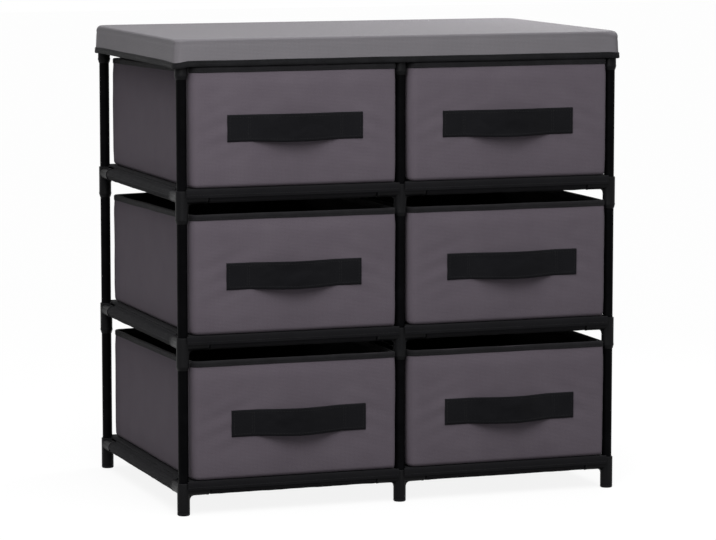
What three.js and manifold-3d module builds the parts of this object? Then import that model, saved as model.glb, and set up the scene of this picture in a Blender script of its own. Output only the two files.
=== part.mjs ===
// A dresser of six fabric drawers in a rack of round steel tube, joined by moulded plastic connectors.
// Three rows of two drawers stand on three fabric shelves, under a stiffened fabric lid.
// Millimetres, +Z up. The drawers' fronts face -Y. The origin is on the floor, under the middle of the whole.

import * as THREE from 'three';
import { mergeVertices } from 'three/addons/utils/BufferGeometryUtils.js';
import Module from 'manifold-3d';

const wasm = await Module();
wasm.setup();

// Rack
const BAY_WIDTH = 267;
const RACK_DEPTH = 330;
const LEVEL_PITCH = 170;
const COLUMNS = 2;
const ROWS = 3;

// Steel tube
const TUBE_DIAMETER = 12;
const TUBE_WALL = 0.8;
const ROUND_SIDES = 8;

// Moulded connector: an upright sleeve with sockets near its top
const SLEEVE_WALL = 1.25;
const SLEEVE_CROWN = 0.7;
const SLEEVE_TAPER_HEIGHT = 3.6;
const SLEEVE_TAPER_DEPTH = 0.9;
const FOOT_CHAMFER = 0.9;
const FOOT_FLOOR = 3;
const CAP_THICKNESS = 1.5;
const CAPPED_SLEEVE_EXTRA = 4;
const RAIL_RISE = 30;
const ARM_REACH = 30;
const ARM_ROOT_WALL = 1.15;
const ARM_END_WALL = 0.85;
const SOCKET_FLOOR = 2;
const GUSSET_LEG = 4.5;
const GUSSET_THICKNESS = 4.4;
const GUSSET_STEPS = 1;

// Fits
const TUBE_FIT = 0.15;
const SEAT_GAP = 0.3;
const CUT_OVERRUN = 2;

// Fabric shelf: a stiff panel with casings that wrap the rails, and a hem that hangs over each long edge
const SHELF_THICKNESS = 2.6;
const SHELF_SIDE_SETBACK = 3;
const SHELF_NOTCH_ROOM = 3.6;
const HEM_CLOTH = 0.8;
const HEM_HEIGHT = 10.5;
const CASING_CLOTH = 0.65;
const CASING_FIT = 0.15;
const CASING_END_ROOM = 2;
const CASING_NECK_WIDTH = 9;

// Drawer
const DRAWER_SIDE_GAP = 0.8;
const DRAWER_FRONT_STAND = 8;
const DRAWER_BACK_ROOM = 4;
const DRAWER_TOP_RISE = 10;
const DRAWER_WALL = 2.4;
const DRAWER_BASE = 5.5;
const DRAWER_CORNER_RADIUS = 10;
const DRAWER_BOTTOM_RADIUS = 9.5;
const CORNER_STEPS = 2;
const BOTTOM_STEPS = 3;
const RIM_HEIGHT = 6.5;
const RIM_PROUD = 0.8;

// Strap handle
const HANDLE_LENGTH = 165;
const HANDLE_END_HEIGHT = 30;
const HANDLE_MIDDLE_SWELL = 3.5;
const HANDLE_THICKNESS = 2.2;
const HANDLE_SEWN_END = 29;
const HANDLE_STAND = 16;
const HANDLE_SAG = 2;
const HANDLE_FULLNESS = 1.3;
const HANDLE_STEPS = 12;

// Lid
const LID_BOARD = 2.5;
const LID_CLOTH = 1.2;
const LID_SIDE_ROOM = 0.4;
const LID_CORNER_RADIUS = 6.5;
const LID_EDGE_RADIUS = 5;
const LID_EDGE_STEPS = 3;
const LID_DRAWER_CLEARANCE = 0.6;
const BINDING_FOLD = 2.2;
const BINDING_HEIGHT = 7.3;
const BINDING_CLOTH = 0.8;
const BINDING_GAP = 0.25;

// Sizes that follow from those above
const quarterTurn = Math.PI / 2;
const rackWidth = COLUMNS * BAY_WIDTH;
const levels = ROWS + 1;
const topBase = ROWS * LEVEL_PITCH;
const tubeRadius = TUBE_DIAMETER / 2;
const boreRadius = tubeRadius + TUBE_FIT;
const sleeveRadius = boreRadius + SLEEVE_WALL;
const armRootRadius = boreRadius + ARM_ROOT_WALL;
const armEndRadius = boreRadius + ARM_END_WALL;
const sleeveHeight = RAIL_RISE + armRootRadius + SLEEVE_CROWN;
const socketStart = boreRadius + SOCKET_FLOOR;
const railStart = socketStart + SEAT_GAP;
const shelfBottomRise = sleeveHeight - SEAT_GAP;
const shelfTopRise = shelfBottomRise + SHELF_THICKNESS;
const shelfNotch = sleeveRadius + SHELF_NOTCH_ROOM;
const hemInside = armRootRadius + SEAT_GAP;
const shelfOverhang = hemInside + HEM_CLOTH;
const casingStart = ARM_REACH + CASING_END_ROOM;
const drawerBottomRise = shelfTopRise + SEAT_GAP;
const drawerHeight = LEVEL_PITCH + DRAWER_TOP_RISE - drawerBottomRise;
const drawerWidth = BAY_WIDTH - 2 * (sleeveRadius + DRAWER_SIDE_GAP + RIM_PROUD);
const drawerDepth = RACK_DEPTH + DRAWER_FRONT_STAND - DRAWER_BACK_ROOM;
const drawerFrontY = -RACK_DEPTH / 2 - DRAWER_FRONT_STAND;
const lidOverhang = sleeveRadius + LID_SIDE_ROOM + LID_CLOTH;
const boardBottom = topBase + sleeveHeight + SEAT_GAP;
const lidInsideTop = boardBottom + LID_BOARD + SEAT_GAP;
const lidTop = lidInsideTop + LID_CLOTH;
const bindingBottom = topBase + DRAWER_TOP_RISE + LID_DRAWER_CLEARANCE;
const skirtBottom = bindingBottom + BINDING_FOLD;
const bindingReach = lidOverhang + BINDING_GAP + BINDING_CLOTH;
const partBackY = RACK_DEPTH / 2 + bindingReach;
const partFrontY = drawerFrontY - SEAT_GAP - HANDLE_THICKNESS - HANDLE_STAND;

// Finishes
function finish(color, roughness, metalness) {
  return new THREE.MeshStandardMaterial({ color, roughness, metalness });
}

const makeTubeFinish = () => finish(0x17171a, 0.42, 0.6);
const makePlasticFinish = () => finish(0x141416, 0.5, 0);
const makeShelfFinish = () => finish(0x1b1b1e, 0.9, 0);
const makeDrawerFinish = () => finish(0x5a555a, 0.93, 0);
const makeHandleFinish = () => finish(0x1a1a1c, 0.85, 0);
const makeLidFinish = () => finish(0x6a676c, 0.93, 0);
const makeBindingFinish = () => finish(0x161618, 0.88, 0);
const makeBoardFinish = () => finish(0x8c7a62, 0.9, 0);

// Solids
function solidFrom(geometry) {
  const bare = geometry.clone();
  bare.deleteAttribute('normal');
  bare.deleteAttribute('uv');
  const merged = mergeVertices(bare);
  const corners = merged.index.array;
  const kept = [];
  for (let i = 0; i < corners.length; i += 3) {
    const [a, b, c] = [corners[i], corners[i + 1], corners[i + 2]];
    if (a !== b && b !== c && c !== a) {
      kept.push(a, b, c);
    }
  }
  const vertProperties = new Float32Array(merged.attributes.position.array);
  return new wasm.Manifold(new wasm.Mesh({ numProp: 3, vertProperties, triVerts: new Uint32Array(kept) }));
}

function geometryFrom(solid) {
  const mesh = solid.getMesh();
  const geometry = new THREE.BufferGeometry();
  geometry.setAttribute('position', new THREE.BufferAttribute(new Float32Array(mesh.vertProperties), 3));
  geometry.setIndex(new THREE.BufferAttribute(new Uint32Array(mesh.triVerts), 1));
  const shaded = geometry.toNonIndexed();
  shaded.computeVertexNormals();
  return shaded;
}

function joined(pieces) {
  return pieces.reduce((whole, piece) => whole.add(piece));
}

// A turned piece about Z, from pairs of radius and height that run up the outside.
function turned(profile) {
  const points = profile.map(([radius, height]) => new THREE.Vector2(radius, height));
  const geometry = new THREE.LatheGeometry(points, ROUND_SIDES);
  geometry.rotateX(quarterTurn);
  return geometry;
}

// Lays a piece that was turned about Z along +X, with its start at the origin.
function alongX(geometry) {
  return geometry.rotateY(quarterTurn);
}

function rod(radius, start, end) {
  return turned([[0, start], [radius, start], [radius, end], [0, end]]);
}

function tube(start, end) {
  const inner = tubeRadius - TUBE_WALL;
  return turned([
    [inner, start],
    [tubeRadius, start],
    [tubeRadius, end],
    [inner, end],
    [inner, start],
  ]);
}

function block(low, high) {
  const size = new THREE.Vector3().subVectors(high, low);
  const middle = new THREE.Vector3().addVectors(low, high).multiplyScalar(1 / 2);
  return new THREE.BoxGeometry(size.x, size.y, size.z).translate(middle.x, middle.y, middle.z);
}

const at = (x, y, z) => new THREE.Vector3(x, y, z);

function roundedRectangle(halfWidth, halfDepth, radius) {
  const shape = new THREE.Shape();
  shape.moveTo(-halfWidth + radius, -halfDepth);
  shape.lineTo(halfWidth - radius, -halfDepth);
  shape.absarc(halfWidth - radius, -halfDepth + radius, radius, -quarterTurn, 0);
  shape.lineTo(halfWidth, halfDepth - radius);
  shape.absarc(halfWidth - radius, halfDepth - radius, radius, 0, quarterTurn);
  shape.lineTo(-halfWidth + radius, halfDepth);
  shape.absarc(-halfWidth + radius, halfDepth - radius, radius, quarterTurn, 2 * quarterTurn);
  shape.lineTo(-halfWidth, -halfDepth + radius);
  shape.absarc(-halfWidth + radius, -halfDepth + radius, radius, 2 * quarterTurn, 3 * quarterTurn);
  return shape;
}

// A rounded slab from one height to another, its edges eased at both ends by an edge radius.
function roundedSlab(halfWidth, halfDepth, radius, bottom, top, edge, edgeSteps) {
  const shape = roundedRectangle(halfWidth, halfDepth, radius);
  const geometry = new THREE.ExtrudeGeometry(shape, {
    depth: top - bottom - 2 * edge,
    curveSegments: CORNER_STEPS,
    bevelEnabled: edge > 0,
    bevelSize: edge,
    bevelThickness: edge,
    bevelOffset: -edge,
    bevelSegments: edgeSteps,
  });
  return geometry.translate(0, 0, bottom + edge);
}

// Connector: the lowest stand on the floor, and the capped ones at the top reach further down their posts.
const sleeveBottom = (level) => (level === ROWS ? -CAPPED_SLEEVE_EXTRA : 0);

function sleeveProfile(level) {
  const bottom = sleeveBottom(level);
  const neck = sleeveRadius - SLEEVE_TAPER_DEPTH;
  const lowerEnd = level === 0
    ? [[sleeveRadius - FOOT_CHAMFER, bottom], [sleeveRadius, bottom + FOOT_CHAMFER]]
    : [[neck, bottom], [sleeveRadius, bottom + SLEEVE_TAPER_HEIGHT]];
  return [[0, bottom], ...lowerEnd, [sleeveRadius, sleeveHeight], [0, sleeveHeight]];
}

function sleeveBore(level) {
  const start = level === 0 ? FOOT_FLOOR : sleeveBottom(level) - CUT_OVERRUN;
  const end = level === ROWS ? sleeveHeight - CAP_THICKNESS : sleeveHeight + CUT_OVERRUN;
  return rod(boreRadius, start, end);
}

function armAt(angle) {
  const arm = turned([
    [0, 0],
    [armRootRadius, 0],
    [armEndRadius, ARM_REACH],
    [0, ARM_REACH],
  ]);
  return alongX(arm).rotateZ(angle).translate(0, 0, RAIL_RISE);
}

function socketAt(angle) {
  const socket = rod(boreRadius, socketStart, ARM_REACH + CUT_OVERRUN);
  return alongX(socket).rotateZ(angle).translate(0, 0, RAIL_RISE);
}

// The web under an arm, whose free edge is a concave arc from the arm to the sleeve.
function gussetAt(angle) {
  const root = sleeveRadius - SLEEVE_TAPER_DEPTH;
  const armBottom = RAIL_RISE - armEndRadius;
  const shape = new THREE.Shape();
  shape.moveTo(root, armBottom + SLEEVE_TAPER_DEPTH);
  shape.lineTo(root, armBottom - GUSSET_LEG);
  shape.absarc(root + GUSSET_LEG, armBottom - GUSSET_LEG, GUSSET_LEG, 2 * quarterTurn, quarterTurn, true);
  shape.lineTo(root + GUSSET_LEG, armBottom + SLEEVE_TAPER_DEPTH);
  const web = new THREE.ExtrudeGeometry(shape, {
    depth: GUSSET_THICKNESS,
    bevelEnabled: false,
    curveSegments: GUSSET_STEPS,
  });
  return web.translate(0, 0, -GUSSET_THICKNESS / 2).rotateX(quarterTurn).rotateZ(angle);
}

function connectorSolid(level, armAngles, socketAngles) {
  const body = joined([
    solidFrom(turned(sleeveProfile(level))),
    ...armAngles.map((angle) => solidFrom(armAt(angle))),
    ...armAngles.map((angle) => solidFrom(gussetAt(angle))),
  ]);
  const sockets = socketAngles.map((angle) => solidFrom(socketAt(angle)));
  return sockets.reduce((whole, cut) => whole.subtract(cut), body);
}

function cornerConnector(level, armAngles) {
  const solid = connectorSolid(level, armAngles, armAngles);
  return geometryFrom(solid.subtract(solidFrom(sleeveBore(level))));
}

// The middle connector of a front or back run, with the two rails that are pressed into its side arms.
function middleConnectorWithRails(level, inward) {
  const sides = [0, 2 * quarterTurn];
  const hub = connectorSolid(level, [...sides, inward], [inward]);
  const railEnd = BAY_WIDTH - railStart;
  const rails = sides.map((angle) => {
    const bar = alongX(rod(tubeRadius, 0, railEnd)).rotateZ(angle).translate(0, 0, RAIL_RISE);
    return solidFrom(bar);
  });
  const hollows = sides.map((angle) => {
    const hollow = rod(tubeRadius - TUBE_WALL, socketStart, railEnd + CUT_OVERRUN);
    return solidFrom(alongX(hollow).rotateZ(angle).translate(0, 0, RAIL_RISE));
  });
  const whole = joined([hub, ...rails]);
  const cuts = [...hollows, solidFrom(sleeveBore(level))];
  return geometryFrom(cuts.reduce((rest, cut) => rest.subtract(cut), whole));
}

// Shelf
function casingParts(length) {
  const outer = solidFrom(alongX(rod(tubeRadius + CASING_FIT + CASING_CLOTH, 0, length)));
  const half = CASING_NECK_WIDTH / 2;
  const rise = shelfBottomRise - RAIL_RISE + SEAT_GAP;
  const neck = solidFrom(block(at(0, -half, 0), at(length, half, rise)));
  const bore = alongX(rod(tubeRadius + CASING_FIT, -CUT_OVERRUN, length + CUT_OVERRUN));
  return outer.add(neck).subtract(solidFrom(bore));
}

// The hem hangs over the shelf's edge in front of the arms and the rail, from one post to the next.
function hemParts(bay, side) {
  const x = bay * BAY_WIDTH - rackWidth / 2;
  const room = sleeveRadius + SEAT_GAP;
  const inner = side * (RACK_DEPTH / 2 + hemInside);
  const outer = side * (RACK_DEPTH / 2 + shelfOverhang);
  const low = at(x + room, Math.min(inner, outer), shelfTopRise - HEM_HEIGHT);
  const high = at(x + BAY_WIDTH - room, Math.max(inner, outer), shelfTopRise);
  return solidFrom(block(low, high));
}

function shelfGeometry() {
  const halfWidth = rackWidth / 2 - SHELF_SIDE_SETBACK;
  const halfDepth = RACK_DEPTH / 2 + shelfOverhang;
  const panelLow = at(-halfWidth, -halfDepth, shelfBottomRise);
  const panelHigh = at(halfWidth, halfDepth, shelfTopRise);
  const panel = solidFrom(block(panelLow, panelHigh));
  const low = shelfBottomRise - CUT_OVERRUN;
  const high = shelfTopRise + CUT_OVERRUN;
  const notches = [];
  const casings = [];
  const hems = [];
  for (const side of [-1, 1]) {
    const y = side * RACK_DEPTH / 2;
    const outerY = side * (halfDepth + CUT_OVERRUN);
    const innerY = y - side * shelfNotch;
    for (let post = 0; post <= COLUMNS; post += 1) {
      const x = post * BAY_WIDTH - rackWidth / 2;
      const from = at(x - shelfNotch, Math.min(outerY, innerY), low);
      const to = at(x + shelfNotch, Math.max(outerY, innerY), high);
      notches.push(solidFrom(block(from, to)));
    }
    for (let bay = 0; bay < COLUMNS; bay += 1) {
      const x = bay * BAY_WIDTH - rackWidth / 2 + casingStart;
      casings.push(casingParts(BAY_WIDTH - 2 * casingStart).translate([x, y, RAIL_RISE]));
      hems.push(hemParts(bay, side));
    }
    const run = casingParts(RACK_DEPTH - 2 * casingStart).rotate([0, 0, 90]);
    casings.push(run.translate([side * rackWidth / 2, casingStart - RACK_DEPTH / 2, RAIL_RISE]));
  }
  const notched = notches.reduce((whole, cut) => whole.subtract(cut), joined([panel, ...casings]));
  return geometryFrom(joined([notched, ...hems]));
}

// Drawer
function drawerGeometry() {
  const halfWidth = drawerWidth / 2;
  const halfDepth = drawerDepth / 2;
  const radius = DRAWER_CORNER_RADIUS;
  const overTop = drawerHeight + DRAWER_BOTTOM_RADIUS + CUT_OVERRUN;
  const box = roundedSlab(halfWidth, halfDepth, radius, 0, overTop, DRAWER_BOTTOM_RADIUS, BOTTOM_STEPS);
  const rimBottom = drawerHeight - RIM_HEIGHT;
  const rimWide = halfWidth + RIM_PROUD;
  const rimDeep = halfDepth + RIM_PROUD;
  const rim = roundedSlab(rimWide, rimDeep, radius + RIM_PROUD, rimBottom, drawerHeight, 0, 0);
  const insideTop = overTop + CUT_OVERRUN;
  const inside = roundedSlab(
    halfWidth - DRAWER_WALL, halfDepth - DRAWER_WALL, radius - DRAWER_WALL, DRAWER_BASE, insideTop, 0, 0);
  const above = block(
    at(-drawerWidth, -drawerDepth, drawerHeight - RIM_HEIGHT / 2),
    at(drawerWidth, drawerDepth, insideTop));
  const shell = solidFrom(box).subtract(solidFrom(above));
  return geometryFrom(shell.add(solidFrom(rim)).subtract(solidFrom(inside)));
}

// Handle: a strap sewn flat at both ends, whose middle stands out, swells and sags a little.
function handleStation(x) {
  const freeHalf = HANDLE_LENGTH / 2 - HANDLE_SEWN_END;
  const share = Math.max(0, 1 - Math.abs(x) / freeHalf);
  const rise = Math.sin(quarterTurn * share) ** HANDLE_FULLNESS;
  return {
    x,
    y: -HANDLE_THICKNESS / 2 - HANDLE_STAND * rise,
    z: -HANDLE_SAG * rise,
    halfHeight: (HANDLE_END_HEIGHT + HANDLE_MIDDLE_SWELL * rise) / 2,
    sewn: share === 0,
  };
}

function handleGeometry() {
  const half = HANDLE_LENGTH / 2;
  const freeHalf = half - HANDLE_SEWN_END;
  const places = [-half];
  for (let i = 0; i <= HANDLE_STEPS; i += 1) {
    places.push(freeHalf * (2 * i / HANDLE_STEPS - 1));
  }
  places.push(half);
  const stations = places.map(handleStation);
  const positions = [];
  stations.forEach((station, i) => {
    const before = stations[Math.max(0, i - 1)];
    const after = stations[Math.min(stations.length - 1, i + 1)];
    const slope = station.sewn ? 0 : (after.y - before.y) / (after.x - before.x);
    const face = new THREE.Vector2(slope, -1).setLength(HANDLE_THICKNESS / 2);
    for (const [side, end] of [[1, -1], [1, 1], [-1, 1], [-1, -1]]) {
      const z = station.z + end * station.halfHeight;
      positions.push(station.x + side * face.x, station.y + side * face.y, z);
    }
  });
  const ring = 4;
  const index = [0, 1, 2, 0, 2, 3];
  for (let i = 0; i < stations.length - 1; i += 1) {
    for (let k = 0; k < ring; k += 1) {
      const a = i * ring + k;
      const b = i * ring + (k + 1) % ring;
      index.push(a, a + ring, b, b, a + ring, b + ring);
    }
  }
  const last = (stations.length - 1) * ring;
  index.push(last, last + 2, last + 1, last, last + 3, last + 2);
  const geometry = new THREE.BufferGeometry();
  geometry.setAttribute('position', new THREE.Float32BufferAttribute(positions, 3));
  geometry.setIndex(index);
  return geometryFrom(solidFrom(geometry));
}

// Lid
function lidCoverGeometry() {
  const halfWidth = rackWidth / 2 + lidOverhang;
  const halfDepth = RACK_DEPTH / 2 + lidOverhang;
  const radius = LID_CORNER_RADIUS;
  const under = skirtBottom - LID_EDGE_RADIUS - CUT_OVERRUN;
  const outer = roundedSlab(halfWidth, halfDepth, radius, under, lidTop, LID_EDGE_RADIUS, LID_EDGE_STEPS);
  const inner = roundedSlab(
    halfWidth - LID_CLOTH, halfDepth - LID_CLOTH, radius - LID_CLOTH,
    under - CUT_OVERRUN, lidInsideTop, LID_EDGE_RADIUS - LID_CLOTH, LID_EDGE_STEPS);
  const below = block(at(-rackWidth, -rackWidth, under - CUT_OVERRUN), at(rackWidth, rackWidth, skirtBottom));
  return geometryFrom(solidFrom(outer).subtract(solidFrom(inner)).subtract(solidFrom(below)));
}

function lidBoardGeometry() {
  const reach = lidOverhang - LID_EDGE_RADIUS;
  const top = boardBottom + LID_BOARD;
  const board = roundedSlab(rackWidth / 2 + reach, RACK_DEPTH / 2 + reach, reach, boardBottom, top, 0, 0);
  return geometryFrom(solidFrom(board));
}

// The tape folded round the hem of the lid's skirt.
function lidBindingGeometry() {
  const top = bindingBottom + BINDING_HEIGHT;
  const over = lidOverhang + BINDING_GAP;
  const inside = lidOverhang - LID_CLOTH;
  const hem = skirtBottom - SEAT_GAP;
  const ring = (reach, low, high) => {
    const radius = LID_CORNER_RADIUS + reach - lidOverhang;
    return solidFrom(roundedSlab(rackWidth / 2 + reach, RACK_DEPTH / 2 + reach, radius, low, high, 0, 0));
  };
  const whole = ring(bindingReach, bindingBottom, top);
  return geometryFrom(whole
    .subtract(ring(over, hem, top + CUT_OVERRUN))
    .subtract(ring(inside, bindingBottom - CUT_OVERRUN, hem + CUT_OVERRUN)));
}

// Assembly
const dresser = new THREE.Group();
dresser.position.y = -(partFrontY + partBackY) / 2;

function addMesh(parent, name, geometry, material) {
  const mesh = new THREE.Mesh(geometry, material);
  mesh.name = name;
  parent.add(mesh);
  return mesh;
}

function levelGroup(level) {
  const group = new THREE.Group();
  group.position.z = level * LEVEL_PITCH;
  dresser.add(group);
  return group;
}

function addConnectorsAndRails(group, level) {
  const corners = [
    ['front_left', -1, -1],
    ['front_right', 1, -1],
    ['back_right', 1, 1],
    ['back_left', -1, 1],
  ];
  for (const [place, sideX, sideY] of corners) {
    const armAngles = [sideX < 0 ? 0 : 2 * quarterTurn, -sideY * quarterTurn];
    const name = `${place}_connector_${level}`;
    const mesh = addMesh(group, name, cornerConnector(level, armAngles), makePlasticFinish());
    mesh.position.set(sideX * rackWidth / 2, sideY * RACK_DEPTH / 2, 0);
  }
  for (const [place, side] of [['front', -1], ['back', 1]]) {
    const name = `${place}_rails_with_middle_connector_${level}`;
    const geometry = middleConnectorWithRails(level, -side * quarterTurn);
    const mesh = addMesh(group, name, geometry, makePlasticFinish());
    mesh.position.y = side * RACK_DEPTH / 2;
  }
  for (const [place, column] of [['left', 0], ['middle', 1], ['right', COLUMNS]]) {
    const name = `${place}_depth_rail_${level}`;
    const rail = alongX(tube(railStart - RACK_DEPTH / 2, RACK_DEPTH / 2 - railStart)).rotateZ(quarterTurn);
    const mesh = addMesh(group, name, geometryFrom(solidFrom(rail)), makeTubeFinish());
    mesh.position.set(column * BAY_WIDTH - rackWidth / 2, 0, RAIL_RISE);
  }
}

function addPosts() {
  const bottom = FOOT_FLOOR + SEAT_GAP;
  const top = topBase + sleeveHeight - CAP_THICKNESS - SEAT_GAP;
  for (const [place, side] of [['front', -1], ['back', 1]]) {
    ['left', 'middle', 'right'].forEach((column, i) => {
      const geometry = geometryFrom(solidFrom(tube(bottom, top)));
      const mesh = addMesh(dresser, `${place}_${column}_post`, geometry, makeTubeFinish());
      mesh.position.set(i * BAY_WIDTH - rackWidth / 2, side * RACK_DEPTH / 2, 0);
    });
  }
}

function addDrawer(group, row, column) {
  const place = `${['bottom', 'middle', 'top'][row]}_${['left', 'right'][column]}`;
  const drawer = new THREE.Group();
  const middleY = drawerFrontY + drawerDepth / 2;
  drawer.position.set((column + 1 / 2) * BAY_WIDTH - rackWidth / 2, middleY, drawerBottomRise);
  group.add(drawer);
  addMesh(drawer, `${place}_drawer`, drawerGeometry(), makeDrawerFinish());
  const handle = addMesh(drawer, `${place}_handle`, handleGeometry(), makeHandleFinish());
  handle.position.set(0, -drawerDepth / 2 - SEAT_GAP, (drawerHeight - RIM_HEIGHT) / 2);
}

addPosts();
for (let level = 0; level < levels; level += 1) {
  const group = levelGroup(level);
  addConnectorsAndRails(group, level);
  if (level < ROWS) {
    addMesh(group, `shelf_${level}`, shelfGeometry(), makeShelfFinish());
    for (let column = 0; column < COLUMNS; column += 1) {
      addDrawer(group, level, column);
    }
  }
}
addMesh(dresser, 'lid_board', lidBoardGeometry(), makeBoardFinish());
addMesh(dresser, 'lid_cover', lidCoverGeometry(), makeLidFinish());
addMesh(dresser, 'lid_binding', lidBindingGeometry(), makeBindingFinish());

export default dresser;
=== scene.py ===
from math import ceil, cos, exp, pi, radians, sin, sqrt

import bmesh
import bpy
from mathutils import Matrix, Vector, noise


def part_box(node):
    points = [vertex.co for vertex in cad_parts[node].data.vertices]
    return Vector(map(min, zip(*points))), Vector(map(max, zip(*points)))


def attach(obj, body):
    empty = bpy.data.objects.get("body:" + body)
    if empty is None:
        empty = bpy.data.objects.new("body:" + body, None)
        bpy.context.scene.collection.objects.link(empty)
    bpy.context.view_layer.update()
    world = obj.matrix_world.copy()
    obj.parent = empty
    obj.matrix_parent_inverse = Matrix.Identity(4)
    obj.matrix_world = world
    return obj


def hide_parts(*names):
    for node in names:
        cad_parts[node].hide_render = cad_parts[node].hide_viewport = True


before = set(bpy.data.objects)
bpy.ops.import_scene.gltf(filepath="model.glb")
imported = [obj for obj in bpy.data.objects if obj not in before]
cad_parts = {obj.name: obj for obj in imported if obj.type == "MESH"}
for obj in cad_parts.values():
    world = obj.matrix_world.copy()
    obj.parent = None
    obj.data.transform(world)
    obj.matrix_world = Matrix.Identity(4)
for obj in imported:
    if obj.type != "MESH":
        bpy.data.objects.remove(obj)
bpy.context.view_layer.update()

# Camera
# It stands in front of the dresser, to its left and a little above the lid. It is far away and has a
# long lens, so that the posts stay nearly parallel.
CAMERA_PLACE = (-1.3836, -3.8945, 0.7660)
CAMERA_TURN_DEGREES = 19.605
CAMERA_DIP_DEGREES = 7.011
LENS_MM = 171.59
SENSOR_WIDTH_MM = 36

camera_data = bpy.data.cameras.new("camera")
camera_data.lens = LENS_MM
camera_data.sensor_width = SENSOR_WIDTH_MM
camera = bpy.data.objects.new("camera", camera_data)
camera.location = CAMERA_PLACE
camera.rotation_euler = (pi / 2 - radians(CAMERA_DIP_DEGREES), 0, -radians(CAMERA_TURN_DEGREES))
bpy.context.scene.collection.objects.link(camera)
bpy.context.scene.camera = camera
bpy.context.scene.view_settings.view_transform = "Standard"

# Floor and background
# A pale, smooth floor that runs on into a plain white background. Seen by the camera, or in a gloss,
# both are white, and the floor keeps a faint trace of the dresser's soft shadow.
FLOOR_REACH = 12.0
FLOOR_GREY = (0.20, 0.20, 0.20, 1)
SEEN_FLOOR_WHITE = (0.85, 0.85, 0.85, 1)
SEEN_SHADOW_SHARE = 0.12
WHITE = (1, 1, 1, 1)
WORLD_LIGHT = 0.45


def add_node(tree, kind, values=None, **settings):
    """Adds a node. Each value is a number, a colour or the socket that feeds it."""
    node = tree.nodes.new("ShaderNode" + kind)
    for key, value in settings.items():
        setattr(node, key, value)
    for socket, value in (values or {}).items():
        if isinstance(value, bpy.types.NodeSocket):
            tree.links.new(value, node.inputs[socket])
        else:
            node.inputs[socket].default_value = value
    return node


def reckon(tree, kind, *values, **settings):
    """A socket with the sum, product, sine or other result of its values."""
    return add_node(tree, "Math", dict(enumerate(values)), operation=kind, **settings).outputs[0]


def seen_rays(tree):
    """A socket that is 1 where the camera, a gloss or a clear piece looks, and 0 for plain light."""
    path = add_node(tree, "LightPath").outputs
    looks = reckon(tree, "ADD", path["Is Camera Ray"], path["Is Glossy Ray"])
    return reckon(tree, "ADD", looks, path["Is Transmission Ray"], use_clamp=True)


def floor_finish():
    material = bpy.data.materials.new("pale_floor")
    material.use_nodes = True
    tree = material.node_tree
    tree.nodes.clear()
    plain = add_node(tree, "BsdfDiffuse", {"Color": FLOOR_GREY})
    lit = add_node(tree, "BsdfDiffuse", {"Color": SEEN_FLOOR_WHITE})
    white = add_node(tree, "Emission", {"Color": WHITE, "Strength": 1.0})
    seen = add_node(tree, "MixShader", {0: SEEN_SHADOW_SHARE, 1: white.outputs[0], 2: lit.outputs[0]})
    mixed = add_node(tree, "MixShader", {0: seen_rays(tree), 1: plain.outputs[0], 2: seen.outputs[0]})
    add_node(tree, "OutputMaterial", {"Surface": mixed.outputs[0]})
    return material


def lay_floor():
    bm = bmesh.new()
    bmesh.ops.create_grid(bm, x_segments=1, y_segments=1, size=FLOOR_REACH)
    mesh = bpy.data.meshes.new("floor")
    bm.to_mesh(mesh)
    bm.free()
    mesh.materials.append(floor_finish())
    floor = bpy.data.objects.new("floor", mesh)
    bpy.context.scene.collection.objects.link(floor)


def light_world():
    world = bpy.data.worlds.new("white_room")
    bpy.context.scene.world = world
    world.use_nodes = True
    tree = world.node_tree
    tree.nodes.clear()
    level = add_node(tree, "MapRange", {"Value": seen_rays(tree), "To Min": WORLD_LIGHT, "To Max": 1.0})
    room = add_node(tree, "Background", {"Color": WHITE, "Strength": level.outputs[0]})
    add_node(tree, "OutputWorld", {"Surface": room.outputs[0]})


lay_floor()
light_world()

# Lights
# A broad soft light from above, a soft box that hangs in front of the upper drawers, and a weak one
# beyond the lid's far right corner. Together with the room they light an upright front at about the
# level at which its colour renders as written, and less towards the floor.
KEY_FROM = (-0.10, -0.35, 0.93)
KEY_LEVEL = 0.62
KEY_SPREAD_DEGREES = 50
SOFT_BOXES = {
    "front_box": {"place": (-0.45, -1.00, 1.15), "aim": (-0.10, -0.16, 0.48), "width": 0.8, "watts": 10.0},
    "lid_box": {"place": (0.56, 0.42, 0.92), "aim": (0.30, 0.05, 0.55), "width": 0.3, "watts": 4.6},
}


def hang_light(name, data, towards, place=(0, 0, 0)):
    light = bpy.data.objects.new(name, data)
    light.location = place
    light.rotation_mode = "QUATERNION"
    light.rotation_quaternion = Vector(towards).to_track_quat("Z", "Y")
    bpy.context.scene.collection.objects.link(light)


key = bpy.data.lights.new("key_light", "SUN")
key.energy = KEY_LEVEL * pi
key.angle = radians(KEY_SPREAD_DEGREES)
hang_light("key_light", key, KEY_FROM)
for name, box in SOFT_BOXES.items():
    lamp = bpy.data.lights.new(name, "AREA")
    lamp.size = box["width"]
    lamp.energy = box["watts"]
    hang_light(name, lamp, Vector(box["place"]) - Vector(box["aim"]), box["place"])

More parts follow.
